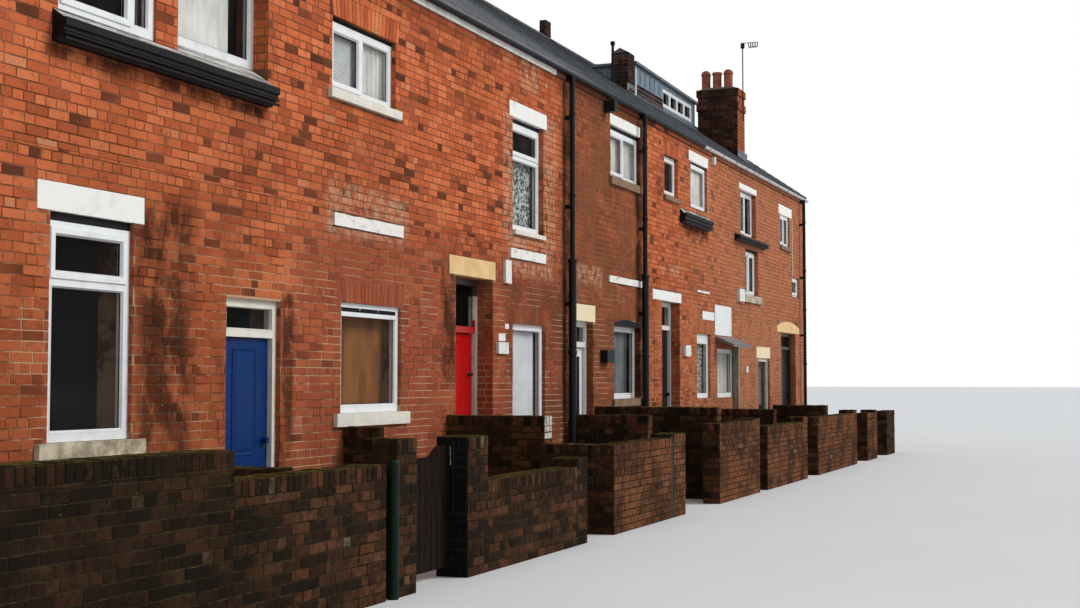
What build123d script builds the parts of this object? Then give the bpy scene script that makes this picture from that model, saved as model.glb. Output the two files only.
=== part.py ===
from build123d import *
import math
import os
from dataclasses import dataclass

# A brick terrace of seven house bays with walled front yards. Millimetres.
# It is built with x = 0 at the left end wall, y = 0 at the street face of the houses (y grows
# into the houses) and z = 0 at the pavement. At the end all pieces move so that the origin is
# at the middle of the whole footprint.

# How far a cut runs past the faces that it goes through
CUT = 1

# The houses
HOUSE_WIDTHS = (4320, 4730, 4260, 3470, 3900, 4700, 3210)
HOUSE_FLOORS = (60, 60, 120, 60, 360, 60, 240)
HOUSE_DEPTH = 7000
WALL = 330
PARTY_WALL = 225
STOREY_SPLIT = 3250
WALL_TOP = 5780
UPPER_FLOOR_TOP = 3200
FLOOR_THICKNESS = 200
ATTIC_FLOOR_TOP = 5700
ATTIC_FLOOR_THICKNESS = 120
DORMER_HOUSE = 5

# Roof and eaves
ROOF_PITCH = 34.8
ROOF_THICKNESS = 50
EAVES_OVERHANG = 55
RIDGE_TILE_REACH = 150
RIDGE_TILE_THICKNESS = 30
FASCIA_THICKNESS = 25
FASCIA_HEIGHT = 130
GUTTER_RADIUS = 42
GUTTER_SKIN = 4
GUTTER_DROP = 15
PIPE_RADIUS = 34
SOIL_PIPE_RADIUS = 52
PIPE_CLIP_WIDTH = 40
PIPE_CLIP_HEIGHT = 50
PIPE_CLIPS = (700, 2600, 3900, 5100)
SOIL_PIPE_TOP = 3200
PIPE_STANDOFF = 105
PIPE_SOCKET_GAP = 0.3

# Windows
REAR_SETBACK = 100
FRAME_DEPTH = 70
FRAME_BAR = 60
GLASS_THICKNESS = 20
LINTEL_DEPTH = 105
LINTEL_PROUD = 6
REAR_LINTEL_BEARING = 100
SILL_PROUD = 50
REAR_WINDOW_WIDTH = 1000
REAR_WINDOW_HEIGHT = 1150
REAR_SILL_GROUND = 1150
REAR_SILL_UPPER = 4050
REAR_SILL_HEIGHT = 90
REAR_LINTEL_HEIGHT = 180

# Doors
POST_WIDTH = 60
POST_DEPTH = 90
RAIL_HEIGHT = 60
LEAF_THICKNESS = 44
LEAF_GAP = 8
KNUCKLE_RADIUS = 6
KNUCKLE_HEIGHT = 45
KNUCKLE_GAP = 0.3
HINGE_PLATE = 3
HINGE_PLATE_REACH = 35
HINGE_INSET = 250
KNOB_RADIUS = 27
KNOB_REACH = 55
KNOB_HEIGHT = 1020
KNOB_INSET = 70
STEP_PROUD = 40
STEP_TREAD = 280
STEP_RISE_MAX = 190

# Front yards
YARD_DEPTH = 1983
YARD_WALL = 225
PIER_DEPTH = 280
DIVIDER_LENGTH = 1100
DOOR_WALL_LENGTH = 1156
GATE_SETBACK = 185
GATE_BOARD = 24
GATE_LEDGE = 22
GATE_LEDGE_HEIGHT = 110
GATE_CLEARANCE = 12
GATE_BOTTOM = 80
GATE_LOW_TOP = 990
GATE_HIGH_TOP = 1075
GATE_KNUCKLE_RADIUS = 8
GATE_KNUCKLE_HEIGHT = 60
GATE_PIVOT_INSET = 14
GATE_BRACKET_HEIGHT = 14
GATE_LOW_FLAT = 545
GATE_HIGH_FLAT = 110
GATE_LEDGES = (230, 760)

# Posts of the front yards: a square one between a wall and a pier, and a round one beside the gate
SQUARE_POST_HOUSE = 2
SQUARE_POST_LEFT = 2367
SQUARE_POST_SIDE = 110
SQUARE_POST_TOP = 950
ROUND_POST_RADIUS = 42
ROUND_POST_Y = 4
ROUND_POST_TOP = 998

# Canopy over the fifth house's street window
CANOPY_LEFT = 60
CANOPY_WIDTH = 1340
CANOPY_REACH = 350
CANOPY_HIGH = 2410
CANOPY_LOW = 2255
CANOPY_THICKNESS = 40
CANOPY_BOARD_WIDTH = 80
CANOPY_BOARD_REACH = 110

# Dark boxed ledges under upper windows: house, left, width, low, height of their street edge,
# height at the wall, how far they stand out
BOXED_LEDGES = (
    (1, -1370, 2832, 4005, 4170, 4245, 110),
    (4, 1775, 1737, 4250, 4385, 4500, 100),
    (5, 1500, 2360, 4270, 4375, 4410, 100),
)
# Painted stumps of ledges that were removed: house, left, width, low, high
WALL_STUBS = (
    (1, 2618, 1452, 3075, 3215),
    (2, 2197, 1180, 3096, 3236),
    (3, 1597, 1531, 3020, 3137),
    (4, 2760, 800, 3130, 3190),
)
LEDGE_BEARING = 60
LEDGE_LIP = 0.45
LEDGE_FOOT = 0.4
LEDGE_SLOPE = 0.68
STUB_BEARING = 80
STUB_PROUD = 30

# Small things on the street wall: house, left, width, low, high, how far they stand out
WALL_BOXES = (
    (2, 2000, 180, 2780, 3060, 40),
    (2, 1850, 200, 2080, 2170, 12),
    (2, 1790, 300, 1926, 2064, 40),
    (2, 2050, 110, 2230, 2290, 10),
    (3, 1240, 300, 1860, 2040, 110),
    (4, 1890, 320, 2015, 2200, 60),
    (5, 1660, 400, 3120, 3360, 60),
    (5, 2230, 130, 1760, 1890, 40),
    (5, -120, 110, 5500, 5630, 60),
    (3, 1400, 130, 5470, 5630, 170),
)
WALL_BOARDS = (
    (4, 3095, 780, 2680, 2825, 12),
    (5, 30, 1160, 2430, 2975, 12),
)

# Downpipes: house, distance from its party line, and whether the lower part is a soil pipe
FRONT_PIPES = ((3, -150, True), (3, 3020, True), (6, 2670, False))
REAR_PIPES = ((1, 0, False), (3, 0, False), (5, 0, False))
# A thin waste pipe between two windows of the last house
WASTE_HOUSE = 6
WASTE_LEFT = 1800
WASTE_RADIUS = 15
WASTE_LOW = 3920
WASTE_HIGH = 5178

# Chimneys and dormer
STACK_WIDTH = 600
STACK_DEPTH = 860
STACK_FRONT = 660
STACK_TOP = 7760
CORBEL_PROUD = 25
CORBEL_HEIGHT = 150
CORBEL_STEP = 300
# The pots from the front: whether each one has a domed cap
POT_DOMED = (True, False, True)
POT_FIRST = 270
POT_PITCH = 244
POT_RADIUS = 93
POT_HEIGHT = 370
POT_CAP_RADIUS = 106
POT_RIM_HEIGHT = 45
DORMER_LEFT = 60
DORMER_STACK_GAP = 285
DORMER_FRONT = 1500
DORMER_WALL = 100
DORMER_CLAD_HEIGHT = 530
DORMER_FALL = 55
DORMER_ROOF_THICKNESS = 50
DORMER_OVERHANG = 60
DORMER_WINDOW_RIGHT_GAP = 210
DORMER_WINDOW_WIDTH = 2070
DORMER_WINDOW_RISE = 105
DORMER_WINDOW_HEAD_DROP = 60

# Small stacks: one beside the dormer, and a stub on the ridge
SIDE_STACK_LEFT = -350
SIDE_STACK_WIDTH = 350
SIDE_STACK_FRONT = 1490
SIDE_STACK_DEPTH = 330
SIDE_STACK_TOP = 7620
SIDE_STACK_HOOD = 90
RIDGE_STUB_HOUSE = 5
RIDGE_STUB_LEFT = 460
RIDGE_STUB_WIDTH = 265
RIDGE_STUB_DEPTH = 130
RIDGE_STUB_RISE = 300

# Aerial and vent pipe
MAST_RADIUS = 12
MAST_TOP = 8760
MAST_LOW = 7100
MAST_ASIDE = 60
MAST_STANDOFF = 35
MAST_BRACKET_DROP = 50
ARM_LENGTH = 330
VENT_RADIUS = 25
VENT_LEFT = -905
VENT_Y = 1600
VENT_TOP = 7700
VENT_COWL_RADIUS = 42
VENT_COWL_HEIGHT = 60


@dataclass
class Window:
    """One window: left edge from its house's party line, its size, its bars, sill and lintel.

    strip is the height of the dark strip between the frame and the lintel. A sloped window
    stands at the top of a weathered board that rises from its sill. first_light is the width
    of the left light where the lights are unequal.
    """

    house: int
    left: float
    width: float
    sill: float
    head: float
    setback: float = 35
    columns: int = 1
    first_light: float = 0
    transom: float = 0
    strip: float = 0
    sloped: bool = False
    sill_height: float = 0
    sill_reach: float = 60
    lintel_height: float = 0
    lintel_left_reach: float = 100
    lintel_right_reach: float = 100
    lintel_kind: str = "painted"


@dataclass
class Door:
    """One doorway with its leaf, which opens into the house."""

    house: int
    left: float
    width: float
    head: float
    leaf_top: float
    reveal: float
    hinge: str = "left"
    lintel_height: float = 0
    lintel_kind: str = "stone"
    lintel_left_reach: float = 100
    lintel_right_reach: float = 100
    lintel_rise: float = 0


@dataclass
class YardWall:
    """A stretch of the yards' front wall, a pier, or a wall that runs out from the houses."""

    house: int
    left: float
    width: float
    top: float
    length: float = 0


GROUND_WINDOWS = [
    Window(house=0, left=2966, width=946, sill=1165, head=2800, transom=1150, strip=60,
           sill_height=118, sill_reach=130, lintel_height=212,
           lintel_left_reach=141, lintel_right_reach=128),
    Window(house=1, left=2790, width=1262, sill=1290, head=2360, sill_height=130,
           sill_reach=135),
    Window(house=2, left=2302, width=1080, sill=740, head=2302, setback=45, sill_height=90),
    Window(house=3, left=1834, width=1246, sill=1338, head=2407, setback=90,
           sill_height=110, sill_reach=100),
    Window(house=4, left=2765, width=870, sill=1306, head=2424, setback=45, transom=990),
    Window(house=5, left=190, width=1164, sill=1303, head=2186, setback=20),
]
UPPER_WINDOWS = [
    Window(house=0, left=3009, width=1141, sill=4245, head=5250, setback=20, columns=2,
           first_light=770, sloped=True),
    Window(house=1, left=120, width=1334, sill=4245, head=5250, setback=150, sloped=True),
    Window(house=1, left=2590, width=1310, sill=4390, head=5100, setback=50, columns=2,
           strip=40, sill_height=95, sill_reach=78),
    Window(house=2, left=2292, width=1010, sill=3459, head=4848, setback=60, transom=925,
           strip=50, sill_height=60, sill_reach=0, lintel_height=200, lintel_right_reach=133),
    Window(house=3, left=1698, width=1372, sill=4582, head=5347, setback=50, columns=2,
           strip=55, sill_height=120, lintel_height=158, lintel_left_reach=20,
           lintel_right_reach=20),
    Window(house=4, left=890, width=756, sill=4616, head=5281, setback=60, sill_height=80),
    Window(house=4, left=2417, width=1040, sill=4588, head=5380, setback=40, strip=35,
           lintel_height=182),
    Window(house=5, left=1980, width=1222, sill=4435, head=5312, setback=80, columns=2,
           strip=20, lintel_height=115),
    Window(house=5, left=2336, width=1027, sill=3280, head=4190, setback=80, columns=2,
           strip=40, sill_height=150, sill_reach=200),
    Window(house=6, left=702, width=906, sill=4506, head=5178, columns=2, sill_height=90,
           lintel_height=210, lintel_left_reach=135, lintel_right_reach=260),
    Window(house=6, left=1852, width=658, sill=3465, head=3895),
]
DOORS = [
    Door(house=0, left=1134, width=858, head=2305, leaf_top=1970, reveal=45),
    Door(house=1, left=849, width=858, head=2305, leaf_top=1970, reveal=45),
    Door(house=2, left=655, width=1044, head=2792, leaf_top=2155, reveal=200,
         lintel_height=220, lintel_left_reach=170, lintel_right_reach=71),
    Door(house=3, left=170, width=780, head=2421, leaf_top=2060, reveal=100,
         lintel_height=236, lintel_left_reach=50, lintel_right_reach=80),
    Door(house=4, left=723, width=1000, head=2892, leaf_top=2430, reveal=150,
         lintel_height=164, lintel_kind="painted",
         lintel_left_reach=478, lintel_right_reach=111),
    Door(house=5, left=3328, width=1014, head=2061, leaf_top=1990, reveal=50, hinge="right",
         lintel_height=232, lintel_left_reach=128, lintel_right_reach=36),
    Door(house=6, left=702, width=1439, head=2640, leaf_top=2270, reveal=110,
         lintel_height=130, lintel_left_reach=361, lintel_right_reach=411, lintel_rise=121),
]
# The low wall that runs on from the one beside the third house's door to the street wall
RETURN_WALL = YardWall(house=2, left=319, width=225, top=930)
YARD_WALLS = [
    YardWall(house=0, left=0, width=2290, top=1180),
    YardWall(house=0, left=2290, width=1983, top=990),
    YardWall(house=1, left=1787, width=2161, top=760),
    YardWall(house=2, left=319, width=2048, top=930),
    YardWall(house=3, left=298, width=1892, top=1040),
    YardWall(house=4, left=-470, width=2530, top=930),
    YardWall(house=5, left=-640, width=3440, top=980),
    YardWall(house=6, left=-370, width=860, top=950),
    YardWall(house=6, left=2130, width=1080, top=950),
]
PIERS = [
    YardWall(house=1, left=120, width=324, top=1165),
    YardWall(house=1, left=1380, width=407, top=1140),
    YardWall(house=1, left=3948, width=283, top=840),
    YardWall(house=2, left=2477, width=485, top=970),
    YardWall(house=3, left=2190, width=330, top=1060),
    YardWall(house=4, left=2060, width=330, top=1010),
    YardWall(house=5, left=2800, width=330, top=1040),
    YardWall(house=6, left=490, width=330, top=1000),
]
DIVIDERS = [
    YardWall(house=1, left=-112, width=225, top=940, length=DIVIDER_LENGTH),
    YardWall(house=1, left=2850, width=112, top=1160, length=380),
    YardWall(house=2, left=425, width=225, top=1220, length=DOOR_WALL_LENGTH),
    YardWall(house=3, left=-5, width=170, top=1150, length=DIVIDER_LENGTH),
    YardWall(house=3, left=1000, width=225, top=1240, length=YARD_DEPTH - YARD_WALL),
    YardWall(house=4, left=-62, width=225, top=1180, length=DIVIDER_LENGTH),
    YardWall(house=5, left=-112, width=225, top=1100, length=DIVIDER_LENGTH),
    YardWall(house=6, left=-112, width=225, top=1100, length=DIVIDER_LENGTH),
]

# What follows from the sizes above
HOUSE_STARTS = [sum(HOUSE_WIDTHS[:index]) for index in range(len(HOUSE_WIDTHS) + 1)]
ROW_LENGTH = HOUSE_STARTS[-1]
SLOPE = math.tan(math.radians(ROOF_PITCH))
RIDGE_Y = HOUSE_DEPTH / 2
ROOF_RISE = ROOF_THICKNESS / math.cos(math.radians(ROOF_PITCH))
REAR_INNER = HOUSE_DEPTH - WALL
GUTTER_Y = -FASCIA_THICKNESS - GUTTER_RADIUS
GUTTER_RIM = WALL_TOP - SLOPE * EAVES_OVERHANG - GUTTER_DROP
YARD_FRONT = -YARD_DEPTH
FRONT_MOST = YARD_FRONT + ROUND_POST_Y - ROUND_POST_RADIUS
REAR_MOST = HOUSE_DEPTH + PIPE_STANDOFF + PIPE_RADIUS
MIDDLE = Pos(-ROW_LENGTH / 2, -(FRONT_MOST + REAR_MOST) / 2, 0)

nodes = {}


def keep(name, *shapes):
    """Adds every solid of the given shapes to one named piece."""
    solids = nodes.setdefault(name, [])
    for shape in shapes:
        solids.extend(shape.solids())


def block(left, right, front, back, low, high):
    """A box between two values of x, of y and of z."""
    box = Box(right - left, back - front, high - low)
    return Pos((left + right) / 2, (front + back) / 2, (low + high) / 2) * box


def along_row(section, left, right):
    """A section of (y, z) points drawn out along the row."""
    face = Plane.YZ.offset(left) * Polygon(*section, align=None)
    return extrude(face, amount=right - left, dir=(1, 0, 0))


def into_depth(face, front, back):
    """A face drawn in (x, z) at the street face, drawn out from front to back."""
    return extrude(Pos(0, front, 0) * (Plane.XZ * face), amount=back - front, dir=(0, 1, 0))


def upright(radius, x, y, low, high):
    """A vertical cylinder."""
    return Pos(x, y, (low + high) / 2) * Cylinder(radius, high - low)


def roof_underside(y):
    """Height of the roof's underside at a distance behind the street face."""
    return WALL_TOP + SLOPE * min(y, HOUSE_DEPTH - y)


def roof_top(y):
    """Height of the slates at a distance behind the street face."""
    return roof_underside(y) + ROOF_RISE


def window_left(window):
    return HOUSE_STARTS[window.house] + window.left


def window_hole(window, front, back):
    """What is cut out of a wall for a window, past both faces."""
    left = window_left(window)
    return block(left, left + window.width, front, back, window.sill, window.head)


def frame_low(window):
    """The height that a window's frame stands on."""
    if window.sloped:
        return window.sill + LEDGE_SLOPE * window.setback
    return window.sill


def frame_high(window):
    return window.head - window.strip


def window_lights(window):
    """The glazed rectangles of a window as (left, right, low, high)."""
    left = window_left(window) + FRAME_BAR
    right = window_left(window) + window.width - FRAME_BAR
    low = frame_low(window) + FRAME_BAR
    high = frame_high(window) - FRAME_BAR
    glazed = right - left - (window.columns - 1) * FRAME_BAR
    widths = [glazed / window.columns] * window.columns
    if window.first_light:
        widths = [window.first_light, glazed - window.first_light]
    if window.transom:
        bar = window.sill + window.transom
        rows = [(low, bar - FRAME_BAR / 2), (bar + FRAME_BAR / 2, high)]
    else:
        rows = [(low, high)]
    lights = []
    light_left = left
    for width in widths:
        for row_low, row_high in rows:
            lights.append((light_left, light_left + width, row_low, row_high))
        light_left += width + FRAME_BAR
    return lights


def window_frame(window, front, back):
    """The frame with its mullions and transom, as one piece."""
    left = window_left(window)
    frame = block(left, left + window.width, front, back, frame_low(window),
                  frame_high(window))
    holes = [block(a, b, front - CUT, back + CUT, low, high)
             for a, b, low, high in window_lights(window)]
    return frame - holes


def window_panes(window, front, back):
    """The panes, in the middle of the frame's depth."""
    middle = (front + back) / 2
    pane_front = middle - GLASS_THICKNESS / 2
    pane_back = middle + GLASS_THICKNESS / 2
    return [block(a, b, pane_front, pane_back, low, high)
            for a, b, low, high in window_lights(window)]


def window_sill(window):
    """The sill under a window at the street, from under the frame to past the wall's face."""
    left = window_left(window) - window.sill_reach
    right = window_left(window) + window.width + window.sill_reach
    return block(left, right, -SILL_PROUD, window.setback + FRAME_DEPTH,
                 window.sill - window.sill_height, window.sill)


def sloped_board(window):
    """The weathered board that rises from a ledge to the frame of a sloped window."""
    left = window_left(window)
    back = window.setback + FRAME_DEPTH
    section = [(0, window.sill), (window.setback, frame_low(window)), (back, frame_low(window)),
               (back, window.sill)]
    return along_row(section, left, left + window.width)


def head_strip(window):
    """The dark strip between a frame and the lintel over it."""
    left = window_left(window)
    return block(left, left + window.width, window.setback, window.setback + FRAME_DEPTH,
                 frame_high(window), window.head)


def window_lintel(window):
    left = window_left(window) - window.lintel_left_reach
    right = window_left(window) + window.width + window.lintel_right_reach
    return block(left, right, -LINTEL_PROUD, LINTEL_DEPTH, window.head,
                 window.head + window.lintel_height)


def rear_windows(sill, head):
    """One plain window in the middle of each house at the back."""
    windows = []
    for house, width in enumerate(HOUSE_WIDTHS):
        left = (width - REAR_WINDOW_WIDTH) / 2
        windows.append(Window(house=house, left=left, width=REAR_WINDOW_WIDTH, sill=sill,
                              head=head, columns=2))
    return windows


REAR_GROUND = rear_windows(REAR_SILL_GROUND, REAR_SILL_GROUND + REAR_WINDOW_HEIGHT)
REAR_UPPER = rear_windows(REAR_SILL_UPPER, REAR_SILL_UPPER + REAR_WINDOW_HEIGHT)


def door_left(door):
    return HOUSE_STARTS[door.house] + door.left


def door_right(door):
    return door_left(door) + door.width


def door_lintel(door):
    """The stone over a doorway: a plain block, or one with a curved top and underside."""
    left = door_left(door) - door.lintel_left_reach
    right = door_right(door) + door.lintel_right_reach
    low = door.head
    high = door.head + door.lintel_height
    if not door.lintel_rise:
        return block(left, right, -LINTEL_PROUD, LINTEL_DEPTH, low, high)
    middle = (left + right) / 2
    crown = high + door.lintel_rise
    outline = [
        Line((left, low), (right, low)),
        Line((right, low), (right, high)),
        ThreePointArc((right, high), (middle, crown), (left, high)),
        Line((left, high), (left, low)),
    ]
    return into_depth(make_face(outline), -LINTEL_PROUD, LINTEL_DEPTH)


def door_lintels(kind):
    return [door_lintel(door) for door in DOORS
            if door.lintel_height and door.lintel_kind == kind]


def front_walls():
    """The street wall: ground-storey stretches between doorways, heads, and the upper storey."""
    sills = [window_sill(window) for window in GROUND_WINDOWS + UPPER_WINDOWS
             if window.sill_height]
    lintels = [window_lintel(window) for window in GROUND_WINDOWS + UPPER_WINDOWS
               if window.lintel_height]
    lintels += door_lintels("painted") + door_lintels("stone")
    holes = [window_hole(window, -CUT, WALL + CUT) for window in GROUND_WINDOWS + UPPER_WINDOWS]
    stubs = [wall_stub(*stub) for stub in WALL_STUBS]
    lefts = [0] + [door_right(door) for door in DOORS]
    rights = [door_left(door) for door in DOORS] + [ROW_LENGTH]
    for left, right in zip(lefts, rights):
        stretch = block(left, right, 0, WALL, 0, STOREY_SPLIT)
        keep("front_wall_ground", cut_by_near(stretch, holes + sills + lintels + stubs))
    for door in DOORS:
        head = block(door_left(door), door_right(door), 0, WALL, door.head, STOREY_SPLIT)
        keep("doorway_heads", cut_by_near(head, sills + lintels + stubs))
    section = [(0, STOREY_SPLIT), (WALL, STOREY_SPLIT), (WALL, roof_underside(WALL)),
               (0, WALL_TOP)]
    upper = along_row(section, 0, ROW_LENGTH)
    ledges = [boxed_ledge(*ledge) for ledge in BOXED_LEDGES]
    keep("front_wall_upper", cut_by_near(upper, holes + sills + lintels + ledges + stubs))


def cut_by_near(shape, cutters):
    """Cuts only with the shapes whose boxes reach into the shape's own box."""
    box = shape.bounding_box()
    near = []
    for cutter in cutters:
        other = cutter.bounding_box()
        if (other.min.X < box.max.X and other.max.X > box.min.X
                and other.min.Y < box.max.Y and other.max.Y > box.min.Y
                and other.min.Z < box.max.Z and other.max.Z > box.min.Z):
            near.append(cutter)
    return shape - near if near else shape


def boxed_ledge(house, left, width, low, edge, high, reach):
    """A ledge whose top slopes to the street and whose face steps back below its lip."""
    start = HOUSE_STARTS[house] + left
    lip = low + (edge - low) * LEDGE_LIP
    section = [(LEDGE_BEARING, low), (LEDGE_BEARING, high), (0, high), (-reach, edge),
               (-reach, lip), (-reach * LEDGE_FOOT, low)]
    return along_row(section, start, start + width)


def wall_stub(house, left, width, low, high):
    start = HOUSE_STARTS[house] + left
    return block(start, start + width, -STUB_PROUD, STUB_BEARING, low, high)


def rear_wall():
    """The wall at the back, with plain windows on both storeys."""
    section = [(REAR_INNER, 0), (HOUSE_DEPTH, 0), (HOUSE_DEPTH, WALL_TOP),
               (REAR_INNER, roof_underside(REAR_INNER))]
    wall = along_row(section, 0, ROW_LENGTH)
    windows = REAR_GROUND + REAR_UPPER
    holes = [window_hole(window, REAR_INNER - CUT, HOUSE_DEPTH + CUT) for window in windows]
    sills = [rear_sill(window) for window in windows]
    lintels = [rear_lintel(window) for window in windows]
    keep("rear_wall", wall - (holes + sills + lintels))


def rear_sill(window):
    left = window_left(window) - window.sill_reach
    right = window_left(window) + window.width + window.sill_reach
    return block(left, right, HOUSE_DEPTH - REAR_SETBACK, HOUSE_DEPTH + SILL_PROUD,
                 window.sill - REAR_SILL_HEIGHT, window.sill)


def rear_lintel(window):
    left = window_left(window) - REAR_LINTEL_BEARING
    right = window_left(window) + window.width + REAR_LINTEL_BEARING
    return block(left, right, HOUSE_DEPTH - LINTEL_DEPTH, HOUSE_DEPTH + LINTEL_PROUD,
                 window.head, window.head + REAR_LINTEL_HEIGHT)


def cross_wall(left, right):
    """A wall from front to back that follows the roof's underside."""
    section = [(WALL, 0), (REAR_INNER, 0), (REAR_INNER, roof_underside(REAR_INNER)),
               (RIDGE_Y, roof_underside(RIDGE_Y)), (WALL, roof_underside(WALL))]
    return along_row(section, left, right)


def cross_walls():
    keep("end_walls", cross_wall(0, PARTY_WALL),
         cross_wall(ROW_LENGTH - PARTY_WALL, ROW_LENGTH))
    for line in HOUSE_STARTS[1:-1]:
        keep("party_walls", cross_wall(line - PARTY_WALL / 2, line + PARTY_WALL / 2))


def room_sides(house):
    """The inner faces of the walls on a house's left and right."""
    left = HOUSE_STARTS[house] + PARTY_WALL / 2
    right = HOUSE_STARTS[house + 1] - PARTY_WALL / 2
    if house == 0:
        left = PARTY_WALL
    if house == len(HOUSE_WIDTHS) - 1:
        right = ROW_LENGTH - PARTY_WALL
    return left, right


def floors():
    for house, level in enumerate(HOUSE_FLOORS):
        left, right = room_sides(house)
        keep("ground_floors", block(left, right, WALL, REAR_INNER, 0, level))
        keep("upper_floors", block(left, right, WALL, REAR_INNER,
                                   UPPER_FLOOR_TOP - FLOOR_THICKNESS, UPPER_FLOOR_TOP))
    left, right = room_sides(DORMER_HOUSE)
    keep("attic_floor", block(left, right, WALL, REAR_INNER,
                              ATTIC_FLOOR_TOP - ATTIC_FLOOR_THICKNESS, ATTIC_FLOOR_TOP))


def windows():
    for storey, fronts in (("ground", GROUND_WINDOWS), ("upper", UPPER_WINDOWS)):
        for window in fronts:
            back = window.setback + FRAME_DEPTH
            keep(f"window_frames_{storey}", window_frame(window, window.setback, back))
            keep(f"window_glass_{storey}", *window_panes(window, window.setback, back))
            if window.strip:
                keep("head_strips", head_strip(window))
    rear_back = HOUSE_DEPTH - REAR_SETBACK
    rear_front = rear_back - FRAME_DEPTH
    for window in REAR_GROUND:
        keep("window_frames_ground", window_frame(window, rear_front, rear_back))
        keep("window_glass_ground", *window_panes(window, rear_front, rear_back))
    for window in REAR_UPPER:
        keep("window_frames_upper", window_frame(window, rear_front, rear_back))
        keep("window_glass_upper", *window_panes(window, rear_front, rear_back))


def sills_and_lintels():
    for window in GROUND_WINDOWS + UPPER_WINDOWS:
        if window.sill_height:
            keep("window_sills", window_sill(window))
        if window.lintel_height:
            keep("lintels_" + window.lintel_kind, window_lintel(window))
    keep("lintels_painted", *door_lintels("painted"))
    keep("lintels_stone", *door_lintels("stone"))
    for window in REAR_GROUND + REAR_UPPER:
        keep("window_sills", rear_sill(window))
        keep("lintels_stone", rear_lintel(window))
    keep("boxed_ledges", *[boxed_ledge(*ledge) for ledge in BOXED_LEDGES])
    keep("boxed_ledges", *[sloped_board(window) for window in UPPER_WINDOWS if window.sloped])
    keep("wall_stubs", *[wall_stub(*stub) for stub in WALL_STUBS])


def door_frame(door):
    """Two posts and the head and transom rails, with the fanlight between the rails."""
    left = door_left(door)
    right = door_right(door)
    front = door.reveal
    back = door.reveal + POST_DEPTH
    floor = HOUSE_FLOORS[door.house]
    keep("door_posts", block(left, left + POST_WIDTH, front, back, floor, door.head),
         block(right - POST_WIDTH, right, front, back, floor, door.head))
    rail_left = left + POST_WIDTH
    rail_right = right - POST_WIDTH
    transom_low = door.leaf_top + LEAF_GAP
    transom_high = transom_low + RAIL_HEIGHT
    head_low = door.head - RAIL_HEIGHT
    if head_low - transom_high < RAIL_HEIGHT:
        keep("door_rails", block(rail_left, rail_right, front, back, transom_low, door.head))
        return
    keep("door_rails", block(rail_left, rail_right, front, back, transom_low, transom_high),
         block(rail_left, rail_right, front, back, head_low, door.head))
    middle = (front + back) / 2
    keep("fanlight_glass", block(rail_left, rail_right, middle - GLASS_THICKNESS / 2,
                                 middle + GLASS_THICKNESS / 2, transom_high, head_low))


def door_pivot(door):
    """Where a door's hinge pins stand, as (x, y), and which way the leaf lies from them."""
    y = door.reveal + POST_DEPTH + KNUCKLE_RADIUS
    if door.hinge == "left":
        return door_left(door) + POST_WIDTH + LEAF_GAP / 2, y, 1
    return door_right(door) - POST_WIDTH - LEAF_GAP / 2, y, -1


def hinge_leaf(pivot_x, back, side, low):
    """A knuckle with its plate on the side of the pins that side points to."""
    high = low + KNUCKLE_HEIGHT
    knuckle = upright(KNUCKLE_RADIUS, pivot_x, back + KNUCKLE_RADIUS, low, high)
    tip = pivot_x + side * (HINGE_PLATE_REACH + LEAF_GAP / 2)
    plate = block(min(pivot_x, tip), max(pivot_x, tip), back, back + HINGE_PLATE, low, high)
    return knuckle + plate


def hinge_heights(door):
    """The heights where a leaf's knuckles start."""
    return (HOUSE_FLOORS[door.house] + HINGE_INSET, door.leaf_top - HINGE_INSET)


def door_leaf(door):
    """The leaf with its knuckles and its knob."""
    back = door.reveal + POST_DEPTH
    left = door_left(door) + POST_WIDTH + LEAF_GAP
    right = door_right(door) - POST_WIDTH - LEAF_GAP
    low = HOUSE_FLOORS[door.house] + LEAF_GAP
    leaf = block(left, right, back - LEAF_THICKNESS, back, low, door.leaf_top)
    pivot_x, _, side = door_pivot(door)
    for height in hinge_heights(door):
        leaf += hinge_leaf(pivot_x, back, side, height)
    knob_x = right - KNOB_INSET if side > 0 else left + KNOB_INSET
    knob_z = HOUSE_FLOORS[door.house] + KNOB_HEIGHT
    knob = Cylinder(KNOB_RADIUS, KNOB_REACH, rotation=(90, 0, 0))
    knob_y = back - LEAF_THICKNESS - KNOB_REACH / 2
    return leaf + Pos(knob_x, knob_y, knob_z) * knob


def doorstep(door):
    """The threshold through the wall, with steps down to the yard where the floor is high."""
    level = HOUSE_FLOORS[door.house]
    left = door_left(door)
    right = door_right(door)
    step = block(left, right, -STEP_PROUD, WALL, 0, level)
    risers = math.ceil(level / STEP_RISE_MAX)
    for riser in range(1, risers):
        height = level * (risers - riser) / risers
        step += block(left, right, -STEP_PROUD - riser * STEP_TREAD, -STEP_PROUD, 0, height)
    return step


def doors():
    for door in DOORS:
        door_frame(door)
        pivot_x, _, side = door_pivot(door)
        keep(f"door_leaf_{door.house}", door_leaf(door))
        keep("doorsteps", doorstep(door))
        for height in hinge_heights(door):
            low = height - KNUCKLE_GAP - KNUCKLE_HEIGHT
            keep("door_hinges", hinge_leaf(pivot_x, door.reveal + POST_DEPTH, -side, low))


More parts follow.
